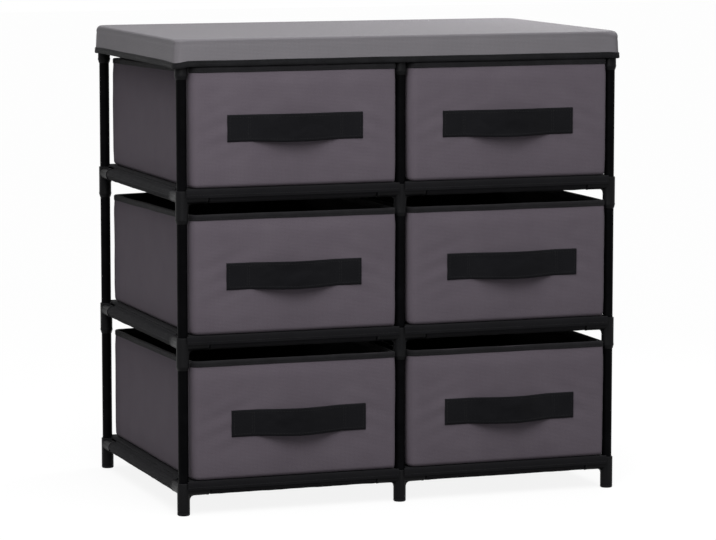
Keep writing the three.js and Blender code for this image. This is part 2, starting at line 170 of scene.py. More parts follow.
# Posts
# Six uprights of drawn steel tube, 12 mm across with a thin wall, powder coated in a dull black. They
# stand in the feet and run through every connector up to the caps under the lid.
PLACES = ("front_left", "front_middle", "front_right", "back_left", "back_middle", "back_right")
TUBE_SIDES = 40
TUBE_WALL = 0.0008
TUBE_END_ROUND = 0.0003
CREASE_DEGREES = 35
NO_SHEEN = (0.0, 0.5)
BLOTCH_MIDDLE = (0.3, 0.7)
POWDER_BLACK = (0.0013, 0.0013, 0.0016, 1)
POWDER_DUST = (0.0027, 0.0027, 0.0032, 1)
POWDER_DUSTY = (0.45, 0.75)
POWDER_CLOUD = 38.0
POWDER_ROUGHNESS = (0.42, 0.60)
POWDER_GLOSS = 0.02
POWDER_GRAIN = 900.0
POWDER_PEEL = 420.0
POWDER_PEEL_DEPTH = 0.00006
MIX_FIRST_COLOUR, MIX_SECOND_COLOUR, MIX_COLOUR = 6, 7, 2


def new_finish(name, colour, specular, sheen=NO_SHEEN):
    """A principled material. Values that are the same all over are set on the shader's own sockets."""
    material = bpy.data.materials.new(name)
    material.use_nodes = True
    tree = material.node_tree
    shader = tree.nodes["Principled BSDF"]
    shader.inputs["Base Color"].default_value = colour
    shader.inputs["Specular IOR Level"].default_value = specular
    shader.inputs["Sheen Weight"].default_value, shader.inputs["Sheen Roughness"].default_value = sheen
    return material, tree, shader


def feed(tree, shader, colour, roughness=None):
    tree.links.new(colour, shader.inputs["Base Color"])
    if roughness:
        tree.links.new(roughness, shader.inputs["Roughness"])


def blotches(tree, place, scale, detail=3.0, rough=0.6):
    """Soft random blotches from 0 to 1."""
    values = {"Vector": place, "Scale": scale, "Detail": detail, "Roughness": rough}
    return add_node(tree, "TexNoise", values).outputs[0]


def stretch(tree, value, span, onto=(0, 1)):
    """Stretches what lies in one span onto another."""
    values = {"Value": value, "From Min": span[0], "From Max": span[1], "To Min": onto[0], "To Max": onto[1]}
    return add_node(tree, "MapRange", values).outputs[0]


def blend_colours(tree, share, first, second):
    values = {0: share, MIX_FIRST_COLOUR: first, MIX_SECOND_COLOUR: second}
    return add_node(tree, "Mix", values, data_type="RGBA").outputs[MIX_COLOUR]


def object_place(tree):
    return add_node(tree, "TexCoord").outputs["Object"]


def raise_bumps(tree, shader, *layers):
    """Feeds the shader's normal with one bump for each pair of height and depth in metres."""
    normal = None
    for height, depth in layers:
        values = {"Height": height, "Distance": depth, "Strength": 1.0}
        if normal:
            values["Normal"] = normal
        normal = add_node(tree, "Bump", values).outputs[0]
    tree.links.new(normal, shader.inputs["Normal"])


def powder_coat():
    material, tree, shader = new_finish("black_powder_coat", POWDER_BLACK, POWDER_GLOSS)
    place = object_place(tree)
    grain = blotches(tree, place, POWDER_GRAIN)
    dust = stretch(tree, blotches(tree, place, POWDER_CLOUD), POWDER_DUSTY)
    feed(tree, shader, blend_colours(tree, dust, POWDER_BLACK, POWDER_DUST),
         stretch(tree, grain, BLOTCH_MIDDLE, POWDER_ROUGHNESS))
    peel = blotches(tree, place, POWDER_PEEL, detail=1.0)
    raise_bumps(tree, shader, (peel, POWDER_PEEL_DEPTH), (grain, POWDER_PEEL_DEPTH / 3))
    return material


def turned(bm, profile, place, sides, closed):
    """Turns a profile of (radius, height) about Z. A closed one also joins its last ring to its first."""
    rings = []
    for radius, height in profile:
        turns = [2 * pi * side / sides for side in range(sides)] if radius else [0]
        points = [Vector((radius * cos(turn), radius * sin(turn), height)) for turn in turns]
        rings.append([bm.verts.new(place @ point) for point in points])
    pairs = list(zip(rings, rings[1:]))
    if closed:
        pairs.append((rings[-1], rings[0]))
    for low, high in pairs:
        for side in range(sides):
            after = (side + 1) % sides
            corners = [low[side % len(low)], low[after % len(low)],
                       high[after % len(high)], high[side % len(high)]]
            bm.faces.new(list(dict.fromkeys(corners)))


def smooth_over(mesh, material, crease_degrees=CREASE_DEGREES):
    """Smooths a mesh but for its sharp edges, and gives it its one material."""
    mesh.shade_smooth()
    mesh.set_sharp_from_angle(angle=radians(crease_degrees))
    mesh.materials.clear()
    mesh.materials.append(material)


def mesh_from(bm, name):
    bmesh.ops.recalc_face_normals(bm, faces=bm.faces)
    mesh = bpy.data.meshes.new(name)
    bm.to_mesh(mesh)
    bm.free()
    return mesh


def add_object(name, mesh):
    thing = bpy.data.objects.new(name, mesh)
    bpy.context.scene.collection.objects.link(thing)
    return thing


def new_piece(bm, name, material, crease_degrees=CREASE_DEGREES):
    """Turns the working mesh into a piece of the scene."""
    mesh = mesh_from(bm, name)
    smooth_over(mesh, material, crease_degrees)
    return add_object(name, mesh)


def seat(piece, body, slot, *nodes):
    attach(piece, body)
    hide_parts(*nodes)


def tube_between(name, start, end, radius, material):
    """A hollow tube from start to end, with its cut ends broken smooth."""
    run = Vector(end) - Vector(start)
    length = run.length
    place = Matrix.Translation(start) @ run.to_track_quat("Z", "Y").to_matrix().to_4x4()
    bore = radius - TUBE_WALL
    profile = [(bore, 0), (radius - TUBE_END_ROUND, 0), (radius, TUBE_END_ROUND)]
    profile += [(radius, length - TUBE_END_ROUND), (radius - TUBE_END_ROUND, length), (bore, length)]
    bm = bmesh.new()
    turned(bm, profile, place, TUBE_SIDES, closed=True)
    return new_piece(bm, name, material)


powder_black = powder_coat()
post_axis = {}
for place in PLACES:
    low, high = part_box(place + "_post")
    x, y = (low.x + high.x) / 2, (low.y + high.y) / 2
    post_axis[place] = (x, y)
    tube_radius = (high.x - low.x) / 2
    tube = tube_between(place + "_tube", (x, y, low.z), (x, y, high.z), tube_radius, powder_black)
    seat(tube, "rack", "steel_tube", place + "_post")

# Connectors
# Moulded black plastic joints at every crossing: an upright sleeve that grips the post, and short side
# sockets for the rails with a curved web under each. The lowest are closed into feet, the top ones are
# capped, and the others narrow to a lip round the post below.
LEVELS = 4
SLEEVE_RADIUS = 0.0074
SLEEVE_HEIGHT = 0.0380
CAPPED_EXTRA = 0.0040
SLEEVE_LIP_RADIUS = 0.0065
SLEEVE_TAPER = 0.0036
SLEEVE_CROWN = 0.0007
CAP_CROWN = 0.0022
CROWN_STEPS = 3
SLEEVE_BEAD = 0.00025
SLEEVE_BEAD_WIDTH = 0.0026
FOOT_CHAMFER = 0.0009
FOOT_GROOVE_RISE = 0.0042
FOOT_GROOVE = 0.0004
FOOT_FLOOR = 0.0030
CAP_THICKNESS = 0.0015
ARM_RISE = 0.0300
ARM_REACH = 0.0300
ARM_ROOT_RADIUS = 0.0073
ARM_END_RADIUS = 0.0070
ARM_BEAD = 0.0003
ARM_BEAD_WIDTH = 0.0022
SOCKET_START = 0.00815
BORE_ROOM = 0.00012
WEB_LEG = 0.0045
WEB_THICKNESS = 0.0040
WEB_STEPS = 8
CONNECTOR_SIDES = 48
EDGE_ROUND = 0.00035
PLASTIC_BLACK = (0.0060, 0.0060, 0.0066, 1)
PLASTIC_WORN = (0.0110, 0.0110, 0.0120, 1)
PLASTIC_WORN_EDGES = (0.52, 0.60)
PLASTIC_ROUGHNESS = (0.36, 0.50)
PLASTIC_GLOSS = 0.05
PLASTIC_CLOUD = 55.0
PLASTIC_GRAIN = 1500.0
PLASTIC_GRAIN_DEPTH = 0.00003
CORNER_TURNS = {"front_left": 0, "front_right": pi / 2, "back_right": pi, "back_left": -pi / 2}
MIDDLE_TURNS = {"front": 0, "back": pi}


def moulded_plastic():
    material, tree, shader = new_finish("black_moulded_plastic", PLASTIC_BLACK, PLASTIC_GLOSS)
    place = object_place(tree)
    worn = stretch(tree, add_node(tree, "NewGeometry").outputs["Pointiness"], PLASTIC_WORN_EDGES)
    cloud = blotches(tree, place, PLASTIC_CLOUD)
    feed(tree, shader, blend_colours(tree, worn, PLASTIC_BLACK, PLASTIC_WORN),
         stretch(tree, cloud, BLOTCH_MIDDLE, PLASTIC_ROUGHNESS))
    raise_bumps(tree, shader, (blotches(tree, place, PLASTIC_GRAIN, detail=2.0), PLASTIC_GRAIN_DEPTH))
    return material


def sleeve_start(level):
    """The capped sleeve starts a little lower than the others."""
    return -CAPPED_EXTRA if level == LEVELS - 1 else 0


def sleeve_profile(level):
    """The outside of the sleeve, from the axis at its foot to the axis at its top."""
    start = sleeve_start(level)
    if level == 0:
        profile = [(0, 0), (SLEEVE_RADIUS - FOOT_CHAMFER, 0), (SLEEVE_RADIUS, FOOT_CHAMFER)]
        profile += [(SLEEVE_RADIUS, FOOT_GROOVE_RISE - FOOT_GROOVE)]
        profile += [(SLEEVE_RADIUS - FOOT_GROOVE, FOOT_GROOVE_RISE)]
        profile += [(SLEEVE_RADIUS, FOOT_GROOVE_RISE + FOOT_GROOVE)]
    else:
        bead = SLEEVE_RADIUS + SLEEVE_BEAD
        taper = start + SLEEVE_TAPER
        profile = [(0, start), (SLEEVE_LIP_RADIUS - EDGE_ROUND, start)]
        profile += [(SLEEVE_LIP_RADIUS, start + EDGE_ROUND), (SLEEVE_RADIUS, taper)]
        profile += [(bead, taper + SLEEVE_BEAD_WIDTH / 4), (bead, taper + SLEEVE_BEAD_WIDTH * 3 / 4)]
        profile += [(SLEEVE_RADIUS, taper + SLEEVE_BEAD_WIDTH)]
    crown = CAP_CROWN if level == LEVELS - 1 else SLEEVE_CROWN
    for step in range(CROWN_STEPS + 1):
        turn = pi / 2 * step / CROWN_STEPS
        profile.append((SLEEVE_RADIUS - crown * (1 - cos(turn)), SLEEVE_HEIGHT - crown * (1 - sin(turn))))
    return profile + [(0, SLEEVE_HEIGHT)]


def arm_profile():
    bead_start = ARM_REACH - ARM_BEAD_WIDTH
    bead = ARM_END_RADIUS + ARM_BEAD
    profile = [(0, 0), (ARM_ROOT_RADIUS, 0), (ARM_END_RADIUS, bead_start - ARM_BEAD)]
    profile += [(bead, bead_start), (bead, ARM_REACH - ARM_BEAD), (bead - ARM_BEAD, ARM_REACH)]
    return profile + [(0, ARM_REACH)]


def loose_solid(bm):
    """A working solid for joining and cutting, that isn't part of the scene's pieces."""
    return add_object("working", mesh_from(bm, "working"))


def turned_solid(profile, place):
    bm = bmesh.new()
    turned(bm, profile, place, CONNECTOR_SIDES, closed=False)
    return loose_solid(bm)


def arm_place(angle):
    """Lays a profile's axis along the arm that points towards an angle."""
    turn = Matrix.Rotation(angle, 4, "Z") @ Matrix.Rotation(pi / 2, 4, "Y")
    return Matrix.Translation((0, 0, ARM_RISE)) @ turn


def web_solid(angle):
    """The curved web in the corner under an arm."""
    under = ARM_RISE - ARM_END_RADIUS
    root = SLEEVE_RADIUS
    outline = [(0, ARM_RISE), (0, under - WEB_LEG), (root, under - WEB_LEG)]
    for step in range(1, WEB_STEPS + 1):
        turn = pi / 2 * step / WEB_STEPS
        outline.append((root + WEB_LEG * (1 - cos(turn)), under - WEB_LEG * (1 - sin(turn))))
    outline.append((root + WEB_LEG, ARM_RISE))
    turn = Matrix.Rotation(angle, 4, "Z")
    bm = bmesh.new()
    sides = []
    for y in (-WEB_THICKNESS / 2, WEB_THICKNESS / 2):
        sides.append([bm.verts.new(turn @ Vector((x, y, z))) for x, z in outline])
    bm.faces.new(sides[0])
    bm.faces.new(reversed(sides[1]))
    for i in range(len(outline)):
        after = (i + 1) % len(outline)
        bm.faces.new([sides[0][i], sides[1][i], sides[1][after], sides[0][after]])
    return loose_solid(bm)


def join_and_cut(joined, cuts):
    """Joins the working solids, cuts the others away and returns the mesh that is left."""
    base = joined[0]
    steps = [(tool, "UNION") for tool in joined[1:]] + [(tool, "DIFFERENCE") for tool in cuts]
    for tool, operation in steps:
        modifier = base.modifiers.new(operation, "BOOLEAN")
        modifier.operation = operation
        modifier.solver = "EXACT"
        modifier.object = tool
    graph = bpy.context.evaluated_depsgraph_get()
    mesh = bpy.data.meshes.new_from_object(base.evaluated_get(graph))
    for solid in joined + cuts:
        bpy.data.objects.remove(solid)
    return mesh


def connector_mesh(level, angles):
    """A connector whose sleeve stands on the origin, with an arm towards each angle."""
    up = Matrix.Identity(4)
    bore = tube_radius + BORE_ROOM
    floor = FOOT_FLOOR if level == 0 else sleeve_start(level) - SLEEVE_TAPER
    top = SLEEVE_HEIGHT - CAP_THICKNESS if level == LEVELS - 1 else SLEEVE_HEIGHT + SLEEVE_TAPER
    end = ARM_REACH + SLEEVE_TAPER
    socket = [(0, SOCKET_START), (bore, SOCKET_START), (bore, end), (0, end)]
    joined = [turned_solid(sleeve_profile(level), up)]
    cuts = [turned_solid([(0, floor), (bore, floor), (bore, top), (0, top)], up)]
    for angle in angles:
        joined += [turned_solid(arm_profile(), arm_place(angle)), web_solid(angle)]
        cuts.append(turned_solid(socket, arm_place(angle)))
    mesh = join_and_cut(joined, cuts)
    smooth_over(mesh, plastic_black)
    return mesh


def place_connector(name, mesh, place, level, turn, node):
    piece = add_object(name, mesh)
    piece.location = (*post_axis[place], level_base[level])
    piece.rotation_euler = (0, 0, turn)
    seat(piece, "rack", "joint_plastic", node)


plastic_black = moulded_plastic()
level_base = [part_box(f"front_left_connector_{level}")[0].z - sleeve_start(level) for level in range(LEVELS)]
for level in range(LEVELS):
    corner_mesh = connector_mesh(level, (0, pi / 2))
    for place, turn in CORNER_TURNS.items():
        node = f"{place}_connector_{level}"
        place_connector(node + "_moulding", corner_mesh, place, level, turn, node)
    middle_mesh = connector_mesh(level, (0, pi / 2, pi))
    for side, turn in MIDDLE_TURNS.items():
        node = f"{side}_rails_with_middle_connector_{level}"
        name = f"{side}_middle_connector_{level}"
        place_connector(name, middle_mesh, f"{side}_middle", level, turn, node)

# Rails
# The same black tube, cut to the bays and the depth and pushed into the connectors' side sockets. The
# front and back rails run in two lengths, from each outer post to the middle one.
RAIL_SEAT = 0.00845
BAYS = {"left": ("left", "middle"), "right": ("middle", "right")}
for level in range(LEVELS):
    height = level_base[level] + ARM_RISE
    for side in ("front", "back"):
        for bay, (near, far) in BAYS.items():
            start = Vector((*post_axis[f"{side}_{near}"], height)) + Vector((RAIL_SEAT, 0, 0))
            end = Vector((*post_axis[f"{side}_{far}"], height)) - Vector((RAIL_SEAT, 0, 0))
            rail = tube_between(f"{side}_{bay}_rail_{level}", start, end, tube_radius, powder_black)
            seat(rail, "rack", "steel_tube", f"{side}_rails_with_middle_connector_{level}")
    for column in ("left", "middle", "right"):
        low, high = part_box(f"{column}_depth_rail_{level}")
        x = (low.x + high.x) / 2
        rail = tube_between(f"{column}_side_rail_{level}", (x, low.y, height), (x, high.y, height),
                            tube_radius, powder_black)
        seat(rail, "rack", "steel_tube", f"{column}_depth_rail_{level}")

# Shelves
# A stiff board in black non-woven cloth, notched round the posts. Its edges are sewn into casings that
# the rails are pushed through, with a hem turned over in front of the rails and stitched down.
SHELVES = 3
COLUMN_POSTS = ("left", "middle", "right")
BOARD_THICKNESS = 0.0022
BOARD_RISE = 0.0103
BOARD_SIDE_INSET = 0.0030
BOARD_EDGE_ROUND = 0.0009
BOARD_EDGE_SHARE = 0.3
BOARD_WAVES = 45
BOARD_WAVE_SHIFT = 7
NOTCH_ROUND = 0.0015
NOTCH_ROUND_STEPS = 4
NOTCH_REACH = 0.0065
OUTLINE_STEP = 0.006
CASING_RADIUS = 0.0068
CASING_BORE = 0.0062
CASING_START = 0.0320
CASING_STEP = 0.004
CASING_SIDES = 40
CASING_FROM_DEGREES = 150
CASING_WRAP_DEGREES = 310
CASING_FLAP = ((-0.0024, 0.0084), (-0.0050, 0.0084), (-0.0056, 0.0062))
CASING_PUCKER = 0.00035
CASING_PUCKERS = 70
SHELF_SEED, RUN_SEED = 11, 3
SEAM_RIDGE = 0.0005
RIDGE_DEGREES, RIDGE_SPREAD = 352, 9
GROOVE_DEGREES, GROOVE_SPREAD = 336, 7
SEAM_LIFT = (0.0001, 0.0006)
HEM_INSIDE = 0.0076
HEM_CLOTH = 0.0008
HEM_ROOM = 0.0003
HEM_DROP = 0.0004
HEM_POST_GAP = 0.0034
HEM_LOWER = ((0, 0.0004), (0.0001, -0.0002), (0.0006, -0.0002), (0.0008, 0.0006), (0.0010, 0.0022),
             (0.0008, 0.0030), (0.0011, 0.0052))
HEM_UPPER = ((0.0008, -0.0012), (0.0005, -0.0004), (0, 0), (-0.0016, 0.0001), (-0.0016, -0.0004),
             (0, -0.0014))
HEM_SEAM_LIFT = (0.0002, 0.0030)
CLOTH_BLACK = (0.0054, 0.0053, 0.0062, 1)
CLOTH_BLACK_WORN = (0.0098, 0.0096, 0.0108, 1)
BLACK_ROUGHNESS = 0.85
BLACK_GLOSS = 0.05
BLACK_SHEEN = (0.02, 0.5)
BOND_PITCH = 0.0016
BOND_PRESSED = (0.25, 0.70)
BOND_TINT = 0.35
BOND_POLISH = 0.18
BOND_DEPTH = 0.00010
FIBRES = 2600.0
MATTED_FIBRES = 1900.0
FIBRE_ROUGH = 0.7
FIBRE_STRETCH = (1.0, 0.35, 1.0)
MATTED_STRETCH = (1.0, 0.3, 1.0)
MATTED_TURN = 1.1
TANGLE_SPAN, TANGLE_TINT, TANGLE_DEPTH_SHARE = (0.7, 1.3), 0.55, 0.8
CLOTH_CLOUD, CLOTH_CLOUD_ROUGH, CLOTH_CLOUD_TINT = 26.0, 0.55, 0.45
THREAD_BLACK = (0.0100, 0.0100, 0.0112, 1)
THREAD_ROUGHNESS = 0.62
THREAD_GLOSS = 0.10
THREAD_SHEEN = (0.03, 0.5)
THREAD_TWIST = 620.0
THREAD_TWIST_STRAY = 1.5
THREAD_TWIST_DEPTH = 0.00008
THREAD_RADIUS = 0.00028
THREAD_SIDES = 6
STITCH_PITCH = 0.0036
STITCH_LENGTH = 0.0028
STITCH_SHAPE = ((0, 0.35, -0.5), (0.2, 0.95, 0.45), (0.8, 0.95, 0.45), (1, 0.35, -0.5))
SEAM_STEPS = 40
SOFT_CREASE_DEGREES = 60


def map_cloth(piece):
    """Lays a map in metres over a cloth piece, flat on to whichever side each face looks at."""
    mesh = piece.data
    layer = mesh.uv_layers.new(name="cloth")
    points = [vertex.co for vertex in mesh.vertices]
    for face in mesh.polygons:
        sizes = [abs(part) for part in face.normal]
        flat = [axis for axis in range(3) if axis != sizes.index(max(sizes))]
        for corner in face.loop_indices:
            point = points[mesh.loops[corner].vertex_index]
            layer.uv[corner].vector = (point[flat[0]], point[flat[1]])


def set_down(piece, place):
    """Moves a piece's own points, so that it stands at a place in the frame."""
    piece.data.transform(Matrix.Translation(place))
    return piece


def add_cloth(bm, name, material, place, body, slot, node, crease_degrees=SOFT_CREASE_DEGREES):
    """Makes a piece of cloth or tape, sets it down, maps its weave and seats it."""
    piece = set_down(new_piece(bm, name, material, crease_degrees), place)
    map_cloth(piece)
    seat(piece, body, slot, node)
    return piece


def add_thread(bm, name, place, body, slot, node):
    seat(set_down(new_piece(bm, name, black_thread), place), body, slot, node)


def sine_of(tree, value, pitch):
    return reckon(tree, "SINE", reckon(tree, "MULTIPLY", value, 2 * pi / pitch))


def bond_points(tree, across, up, pitch):
    """The small pressed points of non-woven cloth, in rows set half a step apart, from 0 to 1."""
    rising = sine_of(tree, reckon(tree, "ADD", across, up), 2 * pitch)
    falling = sine_of(tree, reckon(tree, "SUBTRACT", across, up), 2 * pitch)
    return stretch(tree, reckon(tree, "MULTIPLY", rising, falling), BOND_PRESSED)


def nonwoven(name, colour, worn, roughness, gloss, sheen, bond_depth):
    """Spunbond cloth: matted fibres, pressed together at small points."""
    material, tree, shader = new_finish(name, colour, gloss, sheen)
    flat = add_node(tree, "UVMap", uv_map="cloth").outputs[0]
    across, up = add_node(tree, "SeparateXYZ", {0: flat}).outputs[:2]
    points = bond_points(tree, across, up, BOND_PITCH)
    along = add_node(tree, "Mapping", {0: flat, "Scale": FIBRE_STRETCH}).outputs[0]
    aslant = add_node(tree, "Mapping", {0: flat, "Rotation": (0, 0, MATTED_TURN), "Scale": MATTED_STRETCH})
    fibres = blotches(tree, along, FIBRES, detail=4.0, rough=FIBRE_ROUGH)
    matted = blotches(tree, aslant.outputs[0], MATTED_FIBRES, detail=4.0, rough=FIBRE_ROUGH)
    cloud = blotches(tree, flat, CLOTH_CLOUD, detail=4.0, rough=CLOTH_CLOUD_ROUGH)
    tangle = reckon(tree, "ADD", fibres, matted)
    streaks = stretch(tree, tangle, TANGLE_SPAN, (0, TANGLE_TINT))
    shade = stretch(tree, cloud, BLOTCH_MIDDLE, (0, CLOTH_CLOUD_TINT))
    wear = reckon(tree, "ADD", streaks, shade, use_clamp=True)
    mottled = blend_colours(tree, wear, colour, worn)
    pressed = blend_colours(tree, stretch(tree, points, (0, 1), (0, BOND_TINT)), mottled, colour)
    feed(tree, shader, pressed, stretch(tree, points, (0, 1), (roughness, roughness - BOND_POLISH)))
    sunk = reckon(tree, "SUBTRACT", 1.0, points)
    raise_bumps(tree, shader, (sunk, bond_depth), (tangle, bond_depth * TANGLE_DEPTH_SHARE))
    return material


def thread_finish():
    material, tree, shader = new_finish("black_thread", THREAD_BLACK, THREAD_GLOSS, THREAD_SHEEN)
    shader.inputs["Roughness"].default_value = THREAD_ROUGHNESS
    values = {"Vector": object_place(tree), "Scale": THREAD_TWIST, "Distortion": THREAD_TWIST_STRAY}
    twist = add_node(tree, "TexWave", values, bands_direction="DIAGONAL").outputs[1]
    feed(tree, shader, blend_colours(tree, twist, THREAD_BLACK, CLOTH_BLACK_WORN))
    raise_bumps(tree, shader, (twist, THREAD_TWIST_DEPTH))
    return material


def add_stitch(bm, start, end, lift):
    """One stitch: a short spindle of thread that dips into the cloth at both ends."""
    run = end - start
    across = run.cross(lift).normalized()
    turns = [2 * pi * side / THREAD_SIDES for side in range(THREAD_SIDES)]
    rings = []
    for share, width, rise in STITCH_SHAPE:
        centre = start + run * share + lift * (rise * THREAD_RADIUS)
        outs = [across * cos(turn) + lift * sin(turn) for turn in turns]
        rings.append([bm.verts.new(centre + out * (width * THREAD_RADIUS)) for out in outs])
    bm.faces.new(rings[0])
    bm.faces.new(reversed(rings[-1]))
    bridge(bm, rings, closed_ends=False)


def stitch_along(bm, path, lifts):
    """Sets stitches at an even pitch along a path. Each of its points has the way that its cloth faces."""
    covered = 0.0
    upcoming = STITCH_PITCH / 2
    for here, there, lift in zip(path, path[1:], lifts):
        length = (there - here).length
        while upcoming <= covered + length:
            middle = here.lerp(there, (upcoming - covered) / length)
            half = (there - here).normalized() * (STITCH_LENGTH / 2)
            add_stitch(bm, middle - half, middle + half, lift.normalized())
            upcoming += STITCH_PITCH
        covered += length


def rounded_path(corners, radius, step):
    """A closed outline with its corners rounded and its straight runs cut into short steps."""
    points = []
    count = len(corners)
    for i, corner in enumerate(corners):
        corner = Vector(corner)
        following = Vector(corners[(i + 1) % count])
        before = (Vector(corners[i - 1]) - corner).normalized()
        after = (following - corner).normalized()
        start, end = corner + before * radius, corner + after * radius
        for turn in range(NOTCH_ROUND_STEPS + 1):
            share = turn / NOTCH_ROUND_STEPS
            points.append(start * (1 - share) ** 2 + corner * 2 * share * (1 - share) + end * share ** 2)
        goal = following - after * radius
        pieces = max(1, ceil((goal - end).length / step))
        points += [end.lerp(goal, k / pieces) for k in range(1, pieces)]
    return points


def outward_of(points):
    """The outward direction at each point of a closed outline that runs anticlockwise."""
    found = []
    for i in range(len(points)):
        along = points[(i + 1) % len(points)] - points[i - 1]
        found.append(Vector((along.y, -along.x)).normalized())
    return found


def stitches_round(points, place_point):
    """A seam of stitches round an upright outline."""
    outward = outward_of(points)
    row = [Vector(place_point(point, out)) for point, out in zip(points, outward)]
    bm = bmesh.new()
    stitch_along(bm, row, [Vector((out.x, out.y, 0)) for out in outward])
    return bm


def bridge(bm, rings, closed_ends=True):
    """Joins rings of equal length into a skin, and closes its two ends with flat faces."""
    for low, high in zip(rings, rings[1:]):
        for i in range(len(low)):
            after = (i + 1) % len(low)
            bm.faces.new([low[i], low[after], high[after], high[i]])
    if closed_ends:
        bm.faces.new(list(reversed(rings[0])))
        bm.faces.new(rings[-1])


def rings_round(bm, points, section, place_point):
    """A ring of points round an outline for each (inset, height) of a section."""
    sides = list(zip(points, outward_of(points)))
    return [[bm.verts.new(place_point(point, out, inset, z)) for point, out in sides] for inset, z in section]


def lifted(section, base):
    """A section's (inset, rise) pairs, with their rises measured from a base."""
    return [(inset, base + rise) for inset, rise in section]


def folded_tape(points, section, place_point):
    """A tape with a closed section that runs round an outline."""
    bm = bmesh.new()
    rings = rings_round(bm, points, section, place_point)
    bridge(bm, rings + rings[:1], closed_ends=False)
    return bm


def post_lines():
    """The x of the three columns of posts, and the y of the front and back ones."""
    columns = [post_axis[f"front_{column}"][0] for column in COLUMN_POSTS]
    return columns, post_axis["front_left"][1], post_axis["back_left"][1]


def shelf_board(shelf, top):
    """The cloth-covered board, with soft edges that waver a little. It stops short of the hems in front
    and behind, and over the side casings."""
    (left_post, middle, right_post), front_post, back_post = post_lines()
    notch = NOTCH_REACH
    front, back = front_post - HEM_INSIDE + HEM_ROOM, back_post + HEM_INSIDE - HEM_ROOM
    left, right = left_post + BOARD_SIDE_INSET, right_post - BOARD_SIDE_INSET
    front_in, back_in = front_post + notch, back_post - notch
    left_in, right_in = left_post + notch, right_post - notch
    corners = [(left_in, front), (middle - notch, front), (middle - notch, front_in)]
    corners += [(middle + notch, front_in), (middle + notch, front), (right_in, front)]
    corners += [(right_in, front_in), (right, front_in), (right, back_in), (right_in, back_in)]
    corners += [(right_in, back), (middle + notch, back), (middle + notch, back_in)]
    corners += [(middle - notch, back_in), (middle - notch, back), (left_in, back)]
    corners += [(left_in, back_in), (left, back_in), (left, front_in), (left_in, front_in)]
    soft, near = BOARD_EDGE_ROUND, BOARD_EDGE_ROUND * BOARD_EDGE_SHARE
    bottom = top - BOARD_THICKNESS
    section = [(soft, bottom), (near, bottom + near), (0, bottom + soft)]
    section += [(0, top - soft), (near, top - near), (soft, top)]

    def wavering(point, out, inset, z):
        place = Vector((point.x, point.y, z))
        wave = noise.noise(place * BOARD_WAVES + Vector((0, 0, shelf * BOARD_WAVE_SHIFT))) * CASING_PUCKER
        return point.x - out.x * (inset - wave), point.y - out.y * (inset - wave), z

    bm = bmesh.new()
    bridge(bm, rings_round(bm, rounded_path(corners, NOTCH_ROUND, OUTLINE_STEP), section, wavering))
    return bm


def casing_section():
    """The outside of a casing across its rail, as (outward, up) points: the round that wraps the rail,
    with the raised seam where its layers meet, and the flap that runs in under the board."""
    points = []
    for step in range(CASING_SIDES):
        degrees = CASING_FROM_DEGREES + CASING_WRAP_DEGREES * step / (CASING_SIDES - 1)
        ridge = exp(-((degrees - RIDGE_DEGREES) / RIDGE_SPREAD) ** 2)
        groove = exp(-((degrees - GROOVE_DEGREES) / GROOVE_SPREAD) ** 2)
        radius = CASING_RADIUS + SEAM_RIDGE * (ridge - groove)
        points.append((radius * cos(radians(degrees)), radius * sin(radians(degrees))))
    return points + list(CASING_FLAP)


def hem_section():
    """The hem in front of a rail, turned over at the top of the board: (outward, up) points."""
    top = BOARD_RISE - HEM_DROP
    points = [(HEM_INSIDE + out, up) for out, up in HEM_LOWER]
    return points + [(HEM_INSIDE + out, top + up) for out, up in HEM_UPPER]


def sweep(bm, section, start, end, outward, seed, bore=0.0):
    """Sweeps a closed section of cloth along a run, puckered a little. It has a round hole along the run
    if it has a bore, and closed ends if not."""
    run = end - start
    up = Vector((0, 0, 1))
    shift = Vector((seed, 0, 0))
    count = max(2, ceil(run.length / CASING_STEP))
    rings, bores = [], []
    for i in range(count + 1):
        centre = start + run * (i / count)
        ring, hole = [], []
        for u, v in section:
            from_axis = outward * u + up * v
            place = centre + from_axis
            from_axis = from_axis.normalized()
            wave = noise.noise(place * CASING_PUCKERS + shift) + noise.noise(place * CASING_PUCKERS * 3) / 2
            ring.append(bm.verts.new(place + from_axis * (wave * CASING_PUCKER)))
            if bore:
                hole.append(bm.verts.new(centre + from_axis * bore))
        rings.append(ring)
        bores.append(hole)
    bridge(bm, rings, closed_ends=not bore)
    if bore:
        bridge(bm, bores, closed_ends=False)
        bridge(bm, [rings[0], bores[0]], closed_ends=False)
        bridge(bm, [rings[-1], bores[-1]], closed_ends=False)


def shelf_runs(shelf):
    """The rails that a shelf's cloth wraps, from post to post, each with the way it looks out."""
    height = level_base[shelf] + ARM_RISE
    (left, middle, right), front, back = post_lines()
    runs = []
    for y, out in ((front, -1), (back, 1)):
        for near, far in ((left, middle), (middle, right)):
            runs.append((Vector((near, y, height)), Vector((far, y, height)), Vector((0, out, 0))))
    for x, out in ((left, -1), (right, 1)):
        runs.append((Vector((x, front, height)), Vector((x, back, height)), Vector((out, 0, 0))))
    return runs


